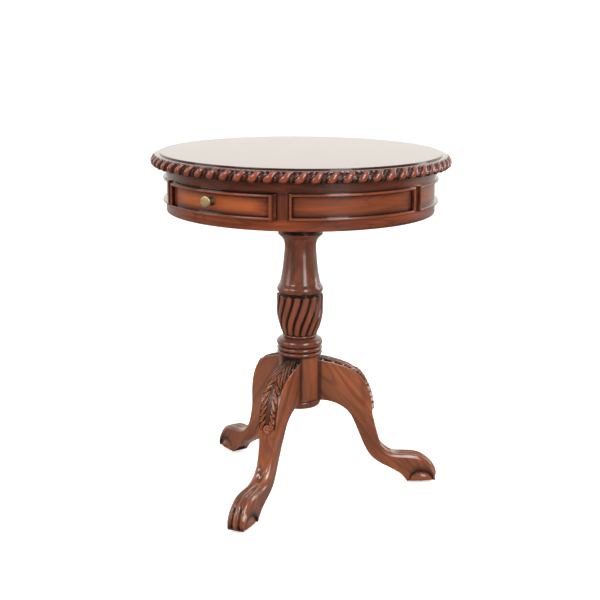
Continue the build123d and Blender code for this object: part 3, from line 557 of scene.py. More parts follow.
# Stiles between the bays, darkened beside the beads and under the top rail with glaze and painted shade
def build_stiles():
    outline = board_outline(RAIL_INNER, DRUM_RADIUS, BAY_FLOOR, BAY_HEAD)
    degree_width = 4.7
    for number in range(1, PANELS):
        start = panel_span(number - 1)[1]
        end = panel_span(number)[0]
        points, faces, turn, radius, height = bent_bar(outline, np.linspace(start, end, 14), on_drum)
        edge = np.radians(np.minimum(turn - start, end - turn)) * DRUM_RADIUS
        under_rail = ease(BAY_HEAD - 5.5, BAY_HEAD - 0.5, height)
        # Glaze and painted shade beside the beads and in a line under the top rail; the whole stile a
        # little darker
        glaze_and_shade = 0.8 * (1 - ease(0.3, 3.5, edge)) + 0.5 * under_rail + 0.35
        grain = np.stack([height, turn * degree_width, radius], axis=-1)
        place_piece(f"stile_{number}", points, faces, drum_mahogany, glaze_and_shade.clip(0, 1), grain=grain)
    bay_half = 90 + FIRST_PANEL
    inner_angle = math.degrees(math.asin(OPENING_HALF / RAIL_INNER))
    width = math.radians(bay_half - OPENING_ANGLE) * DRUM_RADIUS
    for name, side in (("drawer_stile_right", 1), ("drawer_stile_left", -1)):

        def wedge(share, radius, height):
            near = np.where(radius > DRUM_RADIUS - 1, OPENING_ANGLE, inner_angle)
            return on_drum(-90 + side * (near + share * (bay_half - near)), radius, height)

        points, faces, share, radius, height = bent_bar(outline, np.linspace(0, 1, 14), wedge)
        edge = np.minimum(share, 1 - share) * width
        under_rail = ease(BAY_HEAD - 5.5, BAY_HEAD - 0.5, height)
        # Glaze and painted shade beside the beads and in a line under the top rail; the whole stile a
        # little darker
        glaze_and_shade = 0.75 * (1 - ease(0.3, 4.0, edge)) + 0.5 * under_rail + 0.3
        grain = np.stack([height, share * width + 31 * side, radius], axis=-1)
        place_piece(name, points, faces, drum_mahogany, glaze_and_shade.clip(0, 1), grain=grain)


def field_paint(left, right, low, high):
    """Glaze with painted shade at the edges and corners, and rubbing with a painted glow in the middle, of
    a field within its bead, from the distances to the four edges of its bay.
    """
    sideways = np.minimum(left, right) - BEAD_WIDTH
    upright = np.minimum(low, high) - BEAD_WIDTH
    edge = np.minimum(sideways, upright)
    corner = np.exp(-(sideways**2 + upright**2) / 90)
    # Glaze and painted shade beside the bead and in the corners
    glaze_and_shade = 0.95 * (1 - ease(0.5, 3.5, edge)) + 0.25 * (1 - ease(1, 9, edge)) + 0.3 * corner
    # Rubbing with a painted glow towards the middle of the field
    rub_and_highlight = ease(2, 14, upright) * ease(5, 40, sideways)
    return glaze_and_shade.clip(0, 1), rub_and_highlight


def bead_frame(start, end, low, high, inset, place):
    """A raised bead round a bay, mitred at its corners: points, faces and how far each point stands out."""
    along, up = 72, 20
    outer = np.concatenate([
        straight((start, low), (end, low), along + 1)[:-1],
        straight((end, low), (end, high), up + 1)[:-1],
        straight((end, high), (start, high), along + 1)[:-1],
        straight((start, high), (start, low), up + 1)[:-1],
    ])
    middle = np.array([(start + end) / 2, (low + high) / 2])
    half = np.array([(end - start) / 2, (high - low) / 2])
    inner = middle + (outer - middle) * (half - np.array([inset, BEAD_WIDTH])) / half
    nose = 1.9
    base = FIELD_RADIUS + 0.1
    shoulder = BEAD_RADIUS - nose
    section = np.concatenate([
        straight((0, base), (0, shoulder), 4),
        arc((nose, shoulder), nose, 165, 90, 6),
        arc((BEAD_WIDTH - nose, shoulder), nose, 90, 15, 6),
        straight((BEAD_WIDTH, shoulder), (BEAD_WIDTH, base), 4),
    ])
    share = section[:, :1] / BEAD_WIDTH
    flat = outer[:, None, :] * (1 - share) + inner[:, None, :] * share
    radius = section[:, 1] + 0 * flat[..., 0]
    points = place(flat[..., 0], radius, flat[..., 1])
    return points, skin(len(outer), len(section), True), radius


def bead_paint(radius):
    """Glaze and painted shade at the foot of a bead, and rubbing with a painted highlight on its crown."""
    glaze_and_shade = 0.9 * (1 - ease(FIELD_RADIUS + 0.6, BEAD_RADIUS - 2.2, radius))
    rub_and_highlight = 0.1 * ease(BEAD_RADIUS - 1.6, BEAD_RADIUS - 0.2, radius)
    return glaze_and_shade, rub_and_highlight


# False panels: a burnished field in a raised bead, lighter towards its middle with a painted glow
def build_panels():
    outline = board_outline(FIELD_RADIUS - PANEL_THICKNESS, FIELD_RADIUS, BAY_FLOOR, BAY_HEAD)
    inset = math.degrees(BEAD_WIDTH / BEAD_RADIUS)
    for number in range(1, PANELS + 1):
        start, end = panel_span(number - 1)
        points, faces, turn, radius, height = bent_bar(outline, np.linspace(start, end, 120), on_drum)
        left = np.radians(turn - start) * FIELD_RADIUS
        right = np.radians(end - turn) * FIELD_RADIUS
        glaze_and_shade, rub_and_highlight = field_paint(left, right, height - BAY_FLOOR, BAY_HEAD - height)
        # Each panel is cut from another place in the veneer
        grain = ring_grain(points) + np.array([83.0, 41.0, 17.0]) * number
        # Glaze and painted shade at the field's edges and corners, and a painted glow in its middle
        place_piece(f"false_panel_{number}", points, faces, drum_mahogany, glaze_and_shade + 0.1, 0.12 * rub_and_highlight, grain)
        points, faces, radius = bead_frame(start, end, BAY_FLOOR, BAY_HEAD, inset, on_drum)
        glaze_and_shade, rub_and_highlight = bead_paint(radius)
        place_piece(f"panel_bead_{number}", points, faces, drum_mahogany, glaze_and_shade, rub_and_highlight, ring_grain(points))


# Drawer front: the same field and bead, on a board that slides out
def build_drawer():
    outline = board_outline(FIELD_RADIUS - FRONT_THICKNESS, FIELD_RADIUS, DRAWER_LOW, DRAWER_HIGH)
    stations = np.linspace(-DRAWER_HALF, DRAWER_HALF, 120)
    points, faces, across, radius, height = bent_bar(outline, stations, on_drawer)
    # Glaze and painted shade at the field's edges and corners, and a painted glow in its middle, as on the
    # panels
    glaze_and_shade, rub_and_highlight = field_paint(
        DRAWER_HALF + across, DRAWER_HALF - across, height - DRAWER_LOW, DRAWER_HIGH - height)
    on_edge = (np.abs(across) > DRAWER_HALF - 0.1) | (radius < FIELD_RADIUS - 0.005)
    glaze_and_shade = np.where(on_edge, 0.25, glaze_and_shade)
    grain = ring_grain(points) + np.array([520.0, 7.0, 3.0])
    place_piece("drawer_front", points, faces, drum_mahogany, glaze_and_shade, 0.4 * rub_and_highlight, grain, body="drawer")
    points, faces, radius = bead_frame(
        -DRAWER_HALF, DRAWER_HALF, DRAWER_LOW, DRAWER_HIGH, BEAD_WIDTH, on_drawer)
    # Glaze and painted shade at the foot of the bead and a painted highlight on its crown; the whole bead a
    # little darker
    glaze_and_shade, rub_and_highlight = bead_paint(radius)
    glaze_and_shade = (glaze_and_shade + 0.15).clip(0, 1)
    place_piece("drawer_bead", points, faces, drum_mahogany, glaze_and_shade, rub_and_highlight, ring_grain(points), body="drawer")


# Knob: a flat turned button on a thick neck, browner behind its face with painted shade
def build_knob():
    outline = np.concatenate([
        straight((3, 0), (8.2, 0), 2),
        arc((7.7, 1.2), 1.0, -50, 70, 6),
        flow([(8.3, 2.6), (7.6, 5.0), (6.6, 8.0), (6.2, 11.5), (6.8, 14.6), (8.8, 16.4)], 22),
        arc((9.9, 18.2), 1.4, -50, 70, 7),
        flow([(9.8, 19.8), (7.6, 20.2), (4.0, 20.4), (0.6, 20.5)], 10),
    ])
    points, faces = turned(outline, 72)
    x, y, z = np.moveaxis(points, -1, 0)
    front = -DRAWER_AJAR - FIELD_RADIUS - 0.05
    placed = np.stack([x, front - z, KNOB_HEIGHT + y], axis=-1)
    # Painted shade behind the face
    glaze_and_shade = 0.8 * (1 - ease(15.5, 18.0, z))
    place_piece("knob", placed, faces, brass, glaze_and_shade, body="drawer")


# Column shaft: bulb, long waist and flared lip
def build_shaft():
    outline = np.concatenate([
        straight((30, VASE_TOP), (43.0, VASE_TOP), 2),
        straight((43.0, 419.0), (43.0, 420.4), 3),
        flow([(44.0, 420.6), (46.2, 423.2), (47.0, 427.5), (46.2, 431.6), (44.2, 435.2), (42.0, 438.8),
              (39.6, 447.4), (37.0, 462.0), (35.0, 478.0), (33.4, 494.0), (32.2, 508.0), (32.0, 516.0),
              (32.8, 523.0), (34.8, 529.0), (38.2, 533.8), (42.2, 537.4), (44.4, 539.4)], 96),
        arc((44.2, 541.8), 1.8, -50, 80, 7),
        straight((43.8, 544.0), (40.0, 544.0), 3),
        straight((40.0, 546.0), (40.0, DRUM_BOTTOM - 0.5), 12),
        straight((30.0, DRUM_BOTTOM), (18.0, DRUM_BOTTOM), 2),
    ])
    points, faces = turned(outline, 128)
    height = points[..., 2]
    # Glaze in the joint under the bulb, and painted shade below the lip; above the lip and up to the drum,
    # a painted shadow of the drum
    glaze_and_shade = (
        0.98 * (1 - ease(420.4, 421.4, height))
        + 0.25 * (1 - ease(421, 424, height))
        + 0.05 * ease(500, 530, height)
        + 0.35 * hump(height, 536.5, 3.0)
        + 0.95 * ease(543.4, 544.2, height) * (1 - ease(553, 566, height))
        + 0.5 * ease(578, 590, height)
    )
    grain = upright_grain(points)
    place_piece("column_shaft", points, faces, column_mahogany, glaze_and_shade.clip(0, 1), grain=grain)


# Column vase: convex reeds that sweep round as they rise, with glaze and painted shade between them
def build_vase():
    steps = REEDS * 20
    turn = all_round(steps)
    height = np.concatenate([
        [VASE_BOTTOM],
        np.linspace(VASE_BOTTOM + 0.4, VASE_TOP - 9, 62),
        np.linspace(VASE_TOP - 8.4, VASE_TOP - 0.4, 18),
        [VASE_TOP],
    ])[:, None]
    body = flow([(332.0, 34.9), (338.0, 37.2), (346.0, 40.5), (354.0, 43.0), (364.0, 45.3), (376.0, 47.3),
                 (388.0, 47.9), (402.0, 47.7), (419.0, 47.7)], 200)
    crest = np.interp(height, body[:, 0], body[:, 1])
    sweep = REED_START + REED_TWIST * ease(VASE_BOTTOM, VASE_TOP, height)
    phase = np.mod((turn - sweep) * REEDS / (2 * math.pi), 1.0)
    off = np.abs(phase - 0.5) * 2
    groove = ease(0.6, 0.86, off)
    # Each reed ends in a rounded tip below the dark joint
    end_share = np.clip((VASE_TOP - 2.0 - height) / 6.5, 0, 1)
    tip = np.clip((1 - end_share) ** 2 + (off / 0.74) ** 2 * (1 - end_share) ** 0.5, 0, 1)
    tip = np.where(end_share < 1, ease(0.55, 1.0, tip), 0)
    drop = np.maximum(1.3 * off**2 + 2.2 * groove, 4.2 * tip)
    points = spun(turn, crest - drop, height)
    faces = capped(len(height), steps)
    # Glaze and painted shade in the grooves between the reeds and round each reed's tip
    glaze_and_shade = 0.25 * ease(0.35, 0.66, off) + 0.8 * ease(0.63, 0.78, off) + ease(0.3, 0.7, tip)
    # Dark glaze in the joint with the hub
    glaze_and_shade = glaze_and_shade + 0.8 * (1 - ease(VASE_BOTTOM + 0.5, VASE_BOTTOM + 4.0, height))
    # Rubbing and a painted highlight on the reeds' crests
    rub_and_highlight = 0.06 * (1 - ease(0.1, 0.5, off))
    place_piece("column_vase", points, faces, carved_mahogany, glaze_and_shade.clip(0, 1), rub_and_highlight, upright_grain(points))


# Column hub: astragal, cushion ring, two small rings, and the plain drum that the legs meet
def build_hub():
    outline = np.concatenate([
        straight((8, 178.5), (36.8, 178.5), 3),
        flow([(37.4, 178.6), (40.6, 180.0), (42.9, 183.0), (44.2, 187.5), (44.5, 190.5)], 14),
        arc((42.6, 191.4), 1.9, 0, 80, 6),
        straight((HUB_RADIUS, 193.8), (HUB_RADIUS, 195.2), 3),
        straight((42.9, 196.0), (HUB_RADIUS, 197.6), 2),
        straight((HUB_RADIUS, 199.0), (HUB_RADIUS, 287.5), 40),
        straight((42.6, 289.4), (43.2, 289.6), 2),
        arc((42.6, 293.6), 4.0, -80, 80, 12),
        straight((42.4, 297.9), (42.4, 299.0), 3),
        arc((42.6, 303.3), 4.0, -80, 80, 12),
        straight((42.4, 307.6), (42.4, 308.7), 3),
        flow([(43.4, 309.0), (46.2, 311.6), (47.3, 315.5), (46.6, 319.0), (44.2, 322.0), (40.0, 324.6),
              (35.2, 326.2), (33.8, 327.0)], 30),
        arc((33.0, 329.5), 2.5, -75, 75, 9),
        straight((32.5, VASE_BOTTOM), (20.0, VASE_BOTTOM), 2),
    ])
    points, faces = turned(outline, 160)
    x, y, height = np.moveaxis(points, -1, 0)
    turn = np.degrees(np.arctan2(y, x))
    beside = 0 * height
    for leg_turn in LEG_TURNS.values():
        off = np.radians(apart(turn, leg_turn)) * HUB_RADIUS
        beside = np.maximum(beside, 1 - ease(KNEE_HALF - 1, KNEE_HALF + 8, off))
    plain = ease(196, 200, height) * (1 - ease(286, 289, height))
    # Dark glaze at the joint under the vase, and painted shade on the plain drum beside each leg
    glaze_and_shade = 0.9 * ease(VASE_BOTTOM - 0.8, VASE_BOTTOM, height) + 0.9 * beside * plain
    # Glaze and painted shade in the grooves between the rings and on the cushion's upper slope: how much,
    # at what height, and how wide
    for amount, middle, width in (
        (0.55, 194.6, 1.6), (0.8, 288.8, 2.2), (0.95, 298.5, 1.3), (0.95, 308.2, 1.3),
        (0.5, 322.6, 2.2), (0.5, 326.6, 1.4),
    ):
        glaze_and_shade = glaze_and_shade + amount * hump(height, middle, width)
    # Rubbing and a painted highlight on the plain drum away from the legs
    rub_and_highlight = 0.12 * plain * (1 - beside)
    place_piece("column_hub", points, faces, column_mahogany, glaze_and_shade.clip(0, 1), rub_and_highlight, upright_grain(points))


# Legs: outer edge and under edge of the sawn outline, as matching radii and heights
LEG_STATIONS = [
    (36.5, 279.0, 36.5, 192.0),
    (72.0, 270.2, 58.0, 189.6),
    (106.0, 257.0, 80.0, 181.5),
    (127.0, 240.0, 95.5, 171.0),
    (141.5, 216.0, 107.0, 157.5),
    (149.5, 188.0, 114.5, 142.0),
    (153.0, 160.0, 121.5, 125.5),
    (157.8, 137.0, 129.0, 107.5),
    (164.0, 114.0, 137.0, 89.0),
    (169.0, 97.5, 146.5, 71.6),
    (176.0, 84.0, 158.5, 58.5),
    (188.0, 73.5, 173.0, 48.5),
    (205.0, 67.5, 188.0, 40.5),
    (226.0, 65.2, 203.0, 32.0),
    (244.0, 63.5, 216.0, 23.5),
    (258.0, 60.0, 225.0, 14.0),
    (270.0, 54.0, 232.0, 6.0),
    (281.0, 46.5, 254.0, 6.0),
    (288.5, 36.5, 272.0, 6.0),
    (293.0, 26.0, 284.0, 6.0),
    (294.6, 16.5, 288.0, 6.0),
    (291.6, 7.8, 289.8, 6.0),
]


def leaf_relief(along, side, length):
    """The carved leaf on a knee: its height over the face, its glaze with painted shade, and where it
    covers the knee.
    """
    # Upper tier: long strands that lie almost along the leg, beside a double centre line
    reach = np.clip((side - 1.8) / (LEAF_HALF - 1.8), 0, 1.4)
    strand_pitch = 7.2
    strand = np.abs(np.mod((0.32 * along - 19.0 * reach) / strand_pitch, 1.0) - 0.5) * 2
    strand_body = 1 - ease(0.42, 0.72, strand)
    spine = hump(side, 1.9, 0.7)
    upper = 1.5 * strand_body * (1 - 0.4 * strand**2) - 1.2 * spine
    # Glaze and painted shade between the strands, along the centre line, towards the hub and at the outer
    # strands
    upper_glaze_and_shade = 0.95 * (1 - strand_body) + spine
    upper_glaze_and_shade = upper_glaze_and_shade + 0.35 * (1 - ease(10, 60, along)) + 0.5 * ease(0.6, 0.95, reach)
    upper_edge = 1.0 - 0.3 * ease(0.2, 1.0, strand)

    # Lower tier: full leaflets that spread from a wide channel darkened with glaze and painted shade. Each
    # is shaped like a flame, thin at its root and curled at its tip, with a cut down the middle of the tip.
    lower_start = 62.0
    channel_half = 1.5 + 3.0 * ease(lower_start, lower_start + 28, along)
    channel = 1 - ease(channel_half - 0.5, channel_half + 0.6, side)
    lines = 0.5 + 0.5 * np.cos(2 * math.pi * (side - 0.9) / 1.9)
    out = np.clip((side - channel_half) / (LEAF_HALF - channel_half), 0, 1.4)
    slid = along - (20.0 + 3.0 * np.sin(along / 9.0)) * out**0.9
    leaflet_pitch = 14.5
    phase = np.abs(np.mod(slid / leaflet_pitch - 0.1, 1.0) - 0.5) * 2
    off = phase / (0.38 + 0.56 * hump(out, 0.58, 0.4))
    flame = 1 - ease(0.8, 1.1, off)
    curl = (0.5 + 0.5 * ease(0.1, 0.75, off)) * (0.4 + 1.2 * out)
    lower = (3.4 * flame * curl - 0.8 * (1 - flame)) * (1 - channel) + channel * (0.5 * lines - 1.4)
    cut = 0.5 * (1 - ease(0.05, 0.35, off)) * flame * ease(0.3, 0.5, out)
    # Glaze and painted shade in the gaps between leaflets, in the cut of each tip and in the channel
    lower_glaze_and_shade = (1 - flame + cut) * (1 - channel) + channel * (0.85 - 0.3 * lines)
    lower_edge = 1.0 - 0.4 * ease(0.15, 1.0, phase)

    tier = ease(lower_start, lower_start + 5, slid)
    crown = (3.2 - 1.2 * ease(0, length, along)) * (1 - 0.3 * out**2)
    height = crown + upper + (lower - upper) * tier
    glaze_and_shade = upper_glaze_and_shade + (lower_glaze_and_shade - upper_glaze_and_shade) * tier
    edge = upper_edge + (lower_edge - upper_edge) * tier
    cover = 1 - ease(edge - 0.03, edge + 0.05, reach + (out - reach) * tier)
    return height, np.clip(glaze_and_shade, 0, 1), cover


def leg_form():
    """Points, faces and paint of one leg, pointing along +X."""
    rows = 560
    edges = flow(LEG_STATIONS, rows)
    outer, under = edges[:, :2], edges[:, 2:]
    under[:, 1] = np.maximum(under[:, 1], FOOT_BOTTOM)
    run = np.concatenate([[0.0], np.cumsum(np.linalg.norm(np.diff(outer, axis=0), axis=1))])
    tangent = np.gradient(outer, axis=0)
    tangent = tangent / np.linalg.norm(tangent, axis=1)[:, None]
    normal = np.stack([-tangent[:, 1], tangent[:, 0]], axis=1)
    normal[np.sum(normal * (outer - under), axis=1) < 0] *= -1

    def run_at(radius):
        return float(np.interp(radius, outer[:, 0], run))

    hub_run = run_at(HUB_RADIUS)
    leaf_end = run_at(152.0)
    ankle = run_at(180.0)
    toe_start = run_at(192.0)
    knuckle = run_at(280.0)
    last = run[-1]

    outer_z = outer[:, 1]
    half = (
        SHANK_HALF
        + (KNEE_HALF - SHANK_HALF) * ease(111, 218, outer_z)
        + (FOOT_HALF - SHANK_HALF) * (1 - ease(64, 105, outer_z))
    )
    half = half - 3.0 * ease(run_at(284), last, run)
    corner = 1.2 + 6.0 * ease(leaf_end - 2, leaf_end + 34, run) + 2.8 * ease(ankle, run_at(240), run)
    depth = np.linalg.norm(outer - under, axis=1)
    corner = np.minimum(corner, 0.6 * depth)
    sole = np.minimum(2.2, 0.3 * depth)

    # One section: under face, under corner, side, outer corner, outer face, then the same mirrored
    under_n, corner_n, side_n, round_n, face_n = 9, 3, 34, 9, 34
    columns = []
    for share in np.linspace(0, 1, under_n, endpoint=False):
        columns.append((share * (half - sole), 0 * half, 0 * half))
    for turn in np.linspace(0, math.pi / 2, corner_n, endpoint=False):
        columns.append((half - sole + sole * np.sin(turn), sole - sole * np.cos(turn), 0 * half))
    for share in np.linspace(0, 1, side_n, endpoint=False):
        columns.append((half, sole + share * (depth - sole - corner), 0 * half))
    for turn in np.linspace(0, math.pi / 2, round_n, endpoint=False):
        columns.append((half - corner + corner * np.cos(turn), depth - corner + corner * np.sin(turn),
                        np.full(rows, np.sin(turn))))
    for share in np.linspace(0, 1, face_n):
        columns.append(((half - corner) * (1 - share), depth, np.ones(rows)))
    mirrored = slice(len(columns) - 2, 0, -1)
    across, upward, on_face = [np.stack(values, axis=1) for values in zip(*columns)]
    across = np.concatenate([across, -across[:, mirrored]], axis=1)
    upward = np.concatenate([upward, upward[:, mirrored]], axis=1)
    on_face = np.concatenate([on_face, on_face[:, mirrored]], axis=1)

    along = run[:, None] + 0 * across
    flat = under[:, None, :] + (outer - under)[:, None, :] * (upward / depth[:, None])[..., None]
    radius, height = flat[..., 0], flat[..., 1]
    side = np.abs(across)

    # Leaf on the knee, with a smooth margin beside it
    face = (on_face > 0.99).astype(float)
    on_leaf = (1 - ease(leaf_end - 3, leaf_end + 2, along)) * face
    leaf, leaf_glaze_and_shade, cover = leaf_relief(along - hub_run, side, leaf_end - hub_run)
    relief = (leaf * cover - 0.5 * (1 - cover)) * on_leaf
    # Glaze and painted shade in the leaf's hollows and in the margin beside it
    glaze_and_shade = (leaf_glaze_and_shade * cover + 0.8 * (1 - cover) * (1 - ease(18.0, 19.3, side))) * on_leaf

    # Scroll button at the leaf's tip
    from_scroll = np.hypot(along - leaf_end, across)
    spiral_turn = np.mod(np.arctan2(across, along - leaf_end) / (2 * math.pi) + from_scroll / 4.8, 1.0)
    button = (1 - ease(8.0, 9.6, from_scroll)) * face
    spiral = hump(spiral_turn, 0.5, 0.17) * ease(0.8, 2.0, from_scroll) * (1 - ease(6.0, 7.4, from_scroll))
    ring = hump(from_scroll, 10.2, 1.2) * face
    relief = relief * (1 - button) + button * (2.4 - 1.3 * spiral - 0.008 * from_scroll**2) - 0.4 * ring
    # Glaze and painted shade in the spiral and in the ring round the button
    glaze_and_shade = glaze_and_shade * (1 - button) + 0.7 * button * spiral + 0.4 * ring

    # Shank: a slightly rounded front
    shank = ease(leaf_end + 8, leaf_end + 26, along) * on_face
    shank = shank * (1 - ease(toe_start - 10, toe_start + 20, along))
    relief = relief + 1.5 * shank * (1 - (side / half[:, None]) ** 2)

    # Ankle hollow between two tendons, then three toes parted by valleys that narrow to slots
    hollow = hump(along, ankle + 5, 11.0) * hump(across, 0, 5.2) * on_face
    tendons = hump(along, ankle + 3, 15.0) * hump(side, 9.5, 3.4) * on_face
    closing = ease(knuckle - 12, knuckle + 4, along)
    toes = ease(toe_start + 2, toe_start + 45, along) * on_face
    toe_pitch = 13.4
    wave = np.cos(2 * math.pi * np.minimum(side, toe_pitch) / toe_pitch)
    slot_place = toe_pitch / 2 + 0.5 * closing
    slot = hump(side, slot_place, 1.7) * closing * on_face
    relief = relief - 4.8 * hollow + 2.0 * tendons + 2.1 * toes * wave * (1 - 0.6 * closing) - 4.4 * slot
    front = ease(knuckle + 4, knuckle + 12, along) * on_face
    dart = hump(side, slot_place, 0.9) * front * (1 - ease(last - 14, last - 5, along))
    relief = relief + 3.4 * dart
    set_back = (7.5 + 2.5 * front) * ease(knuckle - 25, knuckle + 12, along)
    relief = relief - set_back * (side / FOOT_HALF) ** 2.4 * on_face
    # Glaze and painted shade in the slots, the ankle hollow and the valleys between the toes
    glaze_and_shade = glaze_and_shade + slot * (1 - 0.75 * dart) + 0.3 * hollow + 0.25 * toes * np.clip(-wave, 0, 1)
    # A little darker at the ends of the toes and from the ankle on
    glaze_and_shade = glaze_and_shade + 0.4 * ease(last - 14, last - 3, along) + 0.12 * ease(ankle + 10, toe_start + 40, along)

    flat = flat + normal[:, None, :] * relief[..., None]

    # Arched hollows in the sides of the foot and across its heel
    arch_middle, arch_half, arch_high, arch_deep = 260.0, 27.0, 24.0, 4.6
    arch_round = np.sqrt(np.clip(1 - ((radius - arch_middle) / arch_half) ** 2, 0, 1))
    arch_top = FOOT_BOTTOM + arch_high * arch_round
    by_arch = (np.abs(radius - arch_middle) < arch_half) * (1 - on_face)
    below = arch_top - height
    in_arch = ease(0.0, 4.5, below) * (1 - 0.7 * ease(4.0, 20.0, below)) * by_arch
    across = across * (1 - in_arch * arch_deep / half[:, None])
    # Glaze and painted shade at the arch's edge and in a band above it
    glaze_and_shade = glaze_and_shade + (0.5 * hump(below, 1.8, 4.0) + 0.5 * hump(below, -3.0, 8.0)) * by_arch
    # Painted highlight on the floor of the hollow, which faces up
    arch_floor_highlight = ease(4.0, 9.0, below) * by_arch
    heel_half = 13.5
    heel_top = FOOT_BOTTOM + 13.0 * np.sqrt(np.clip(1 - (side / heel_half) ** 2, 0, 1))
    behind = (radius < 231.5) & (radius > 205) & (upward < 0.5)
    in_heel = ease(0.0, 2.0, heel_top - height) * (side < heel_half) * behind
    flat = flat + np.stack([0.78 * in_heel, 0.63 * in_heel], axis=-1) * arch_deep
    # Painted shade in the hollow across the heel
    glaze_and_shade = glaze_and_shade + 0.7 * in_heel

    # Glaze and painted shade where the leg meets the hub, and rubbed arrises with a painted highlight
    by_hub = 0.5 * (1 - ease(HUB_RADIUS, HUB_RADIUS + 4.0, radius)) + 0.28 * (1 - ease(44, 85, radius))
    glaze_and_shade = glaze_and_shade + by_hub * (1 - 0.3 * on_face)
    arris = hump(upward - depth[:, None], 0, 1.6) * hump(side, half[:, None], 1.4)
    arris = arris * (along < leaf_end + 20)
    # Rubbing and painted highlights on the arrises, the raised leaf and the button, and a painted highlight
    # on the arch's floor
    rub_and_highlight = 0.3 * arris + 0.25 * on_leaf * cover * (1 - leaf_glaze_and_shade)
    rub_and_highlight = rub_and_highlight + 0.25 * button * (1 - spiral) + 0.1 * arch_floor_highlight

    points = np.stack([flat[..., 0], across, flat[..., 1]], axis=-1)
    columns_n = points.shape[1]
    faces = skin(rows, columns_n, False)
    count = rows * columns_n
    ends = np.stack([points[0].mean(axis=0), points[-1].mean(axis=0)])
    for end, first in ((0, 0), (1, (rows - 1) * columns_n)):
        for column in range(columns_n):
            faces.append([first + column, first + (column + 1) % columns_n, count + end])
    points = np.concatenate([points.reshape(-1, 3), ends])
    glaze_and_shade = np.concatenate([np.clip(glaze_and_shade, 0, 1).ravel(), [0.6, 0.4]])
    rub_and_highlight = np.concatenate([np.clip(rub_and_highlight, 0, 1).ravel(), [0, 0]])
    return points, faces, glaze_and_shade, rub_and_highlight


# Slope of the grain in the boards that the legs are sawn from, and where each board lies across the pattern
GRAIN_SLOPE = math.radians(52)
LEG_GRAIN = {"leg_front": -24.6, "leg_right": 63.6, "leg_left": 53.4}


def build_legs():
    points, faces, glaze_and_shade, rub_and_highlight = leg_form()
    radius, across, height = points.T
    down = radius * math.cos(GRAIN_SLOPE) - height * math.sin(GRAIN_SLOPE)
    aside = radius * math.sin(GRAIN_SLOPE) + height * math.cos(GRAIN_SLOPE)
    for number, (name, turn) in enumerate(LEG_TURNS.items()):
        c, s = math.cos(math.radians(turn)), math.sin(math.radians(turn))
        placed = np.stack([c * radius - s * across, s * radius + c * across, height], axis=-1)
        grain = [down + 211 * number, aside + 67 * number, 2.2 * across + LEG_GRAIN[name]]
        place_piece(name, placed, faces, leg_mahogany, glaze_and_shade, rub_and_highlight, np.stack(grain, axis=-1))


build_top()
build_rim()
build_rails()
build_stiles()
build_panels()
build_drawer()
build_knob()
build_shaft()
build_vase()
build_hub()
build_legs()

# The solids that stay in view keep their shape and take a finish
finish_of_slot = {
    "inner_wood": lining,
    "steel": steel,
    "glide": nylon,
    "mahogany": drum_mahogany,
    "brass": brass,
}
for entry in frame["record"]["subparts"]:
    solid = frame["nodes"][entry["node"]]
    solid.data.materials.clear()
    solid.data.materials.append(finish_of_slot[entry["material_slot"]])


# Studio: a pale floor, a white surround that is darker behind the camera, and soft boxes
CAMERA_TURN = math.radians(36.4)


def stage_surface(name, points, faces, finish):
    """A surface of the studio, in metres."""
    mesh = bpy.data.meshes.new(name)
    mesh.from_pydata(points, [], faces)
    mesh.materials.append(finish)
    return add_object(name, mesh)


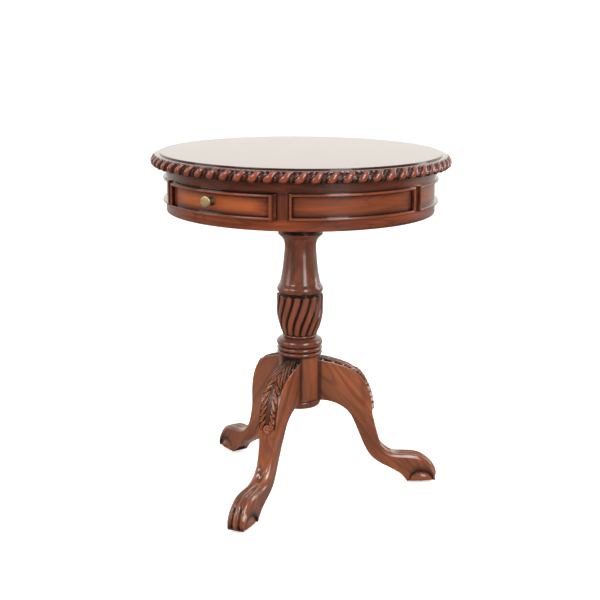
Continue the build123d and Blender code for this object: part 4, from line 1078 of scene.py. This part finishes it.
def build_studio():
    # White acrylic sheet lit from below, so that it stays white far from the lamps
    finish, tree = new_finish("lit_acrylic_floor")
    shader = add_node(tree, "BsdfPrincipled", {
        "Base Color": tint("#ececec"), "Roughness": 0.8, "Specular IOR Level": 0.2,
        "Emission Color": tint("#ffffff"), "Emission Strength": 0.6,
    })
    add_node(tree, "OutputMaterial", {"Surface": shader.outputs[0]})
    reach = 40.0
    corners = [(-reach, -reach, 0), (reach, -reach, 0), (reach, reach, 0), (-reach, reach, 0)]
    floor = stage_surface("studio_floor", corners, [(0, 1, 2, 3)], finish)
    # The table's lacquer mirrors the dark room before it, not the sheet it stands on
    floor.visible_glossy = False

    # A white wall far off closes the view all round, and neither lights the table nor shows in its lacquer
    finish, tree = new_finish("white_wall")
    shader = add_node(tree, "Emission", {"Color": tint("#ffffff"), "Strength": 1.1})
    add_node(tree, "OutputMaterial", {"Surface": shader.outputs[0]})
    ring = arc((0, 0), 0.98 * reach, 0, 360, 65)[:-1]
    points = [(x, y, z) for z in (0.0, reach) for x, y in ring]
    wall = stage_surface("studio_wall", points, skin(2, len(ring), False), finish)
    wall.visible_diffuse = False
    wall.visible_glossy = False
    wall.visible_transmission = False
    wall.visible_shadow = False

    world = bpy.data.worlds.new("white_studio")
    bpy.context.scene.world = world
    world.use_nodes = True
    tree = world.node_tree
    tree.nodes.clear()
    place = add_node(tree, "TexCoord", {})
    towards = add_node(tree, "VectorMath", {
        0: place.outputs["Generated"],
        1: (math.sin(CAMERA_TURN), -math.cos(CAMERA_TURN), 0.0),
    }, operation="DOT_PRODUCT")
    parts = add_node(tree, "SeparateXYZ", {"Vector": place.outputs["Generated"]})
    # Bright behind the table and overhead, dim behind the camera and below the horizon
    behind, low, above = [
        add_node(tree, "MapRange", {
            "Value": value, "From Min": start, "From Max": end, "To Min": first, "To Max": last,
        }, interpolation_type="SMOOTHSTEP").outputs[0]
        for value, start, end, first, last in (
            (towards.outputs["Value"], -0.75, 0.1, 1.18, 0.15),
            (parts.outputs["Z"], -0.22, 0.04, 0.2, 1.0),
            (parts.outputs["Z"], 0.8, 0.95, 0.0, 1.0),
        )
    ]
    glow = add_node(tree, "Math", {0: behind, 1: low, 2: above}, operation="MULTIPLY_ADD")
    sky = add_node(tree, "Background", {"Color": tint("#fffcf6"), "Strength": glow.outputs[0]})
    add_node(tree, "OutputWorld", {"Surface": sky.outputs[0]})

    # Turn from the table's front, height of the middle, distance, width and height in metres, and power
    boxes = (
        ("strip_softbox", 66.0, 1.17, 2.5, 0.75, 1.5, 25.0),
        ("right_softbox", 144.0, 1.17, 2.5, 0.6, 1.5, 13.0),
        ("left_softbox", -40.0, 1.17, 2.5, 1.0, 1.5, 12.0),
        ("key_softbox", 75.0, 2.2, 2.0, 1.0, 1.0, 35.0),
        ("fill_softbox", -5.0, 2.0, 2.4, 1.1, 1.1, 34.0),
    )
    aim_height = 0.45
    for name, turn, middle, away, width, length, power in boxes:
        lamp = bpy.data.lights.new(name, "AREA")
        lamp.shape = "RECTANGLE"
        lamp.size = width
        lamp.size_y = length
        lamp.energy = power
        add_object(name, lamp).matrix_world = (
            Matrix.Rotation(math.radians(turn), 4, "Z")
            @ Matrix.Translation((0, -away, middle))
            @ Matrix.Rotation(math.pi / 2 - math.atan2(middle - aim_height, away), 4, "X")
        )


def build_camera():
    lens = bpy.data.cameras.new("photo_camera")
    lens.sensor_width = 36.0
    lens.lens = 76.12
    lens.clip_end = 200.0
    away, up = 2.53724, 0.9974
    tilt, roll = math.radians(13.22), math.radians(0.431)
    camera = add_object("photo_camera", lens)
    camera.matrix_world = (
        Matrix.Translation((away * math.sin(CAMERA_TURN), -away * math.cos(CAMERA_TURN), up))
        @ Matrix.Rotation(CAMERA_TURN, 4, "Z")
        @ Matrix.Rotation(math.pi / 2 - tilt, 4, "X")
        @ Matrix.Rotation(roll, 4, "Z")
    )
    bpy.context.scene.camera = camera


build_studio()
build_camera()
bpy.context.scene.view_settings.view_transform = "Standard"

bpy.context.view_layer.update()
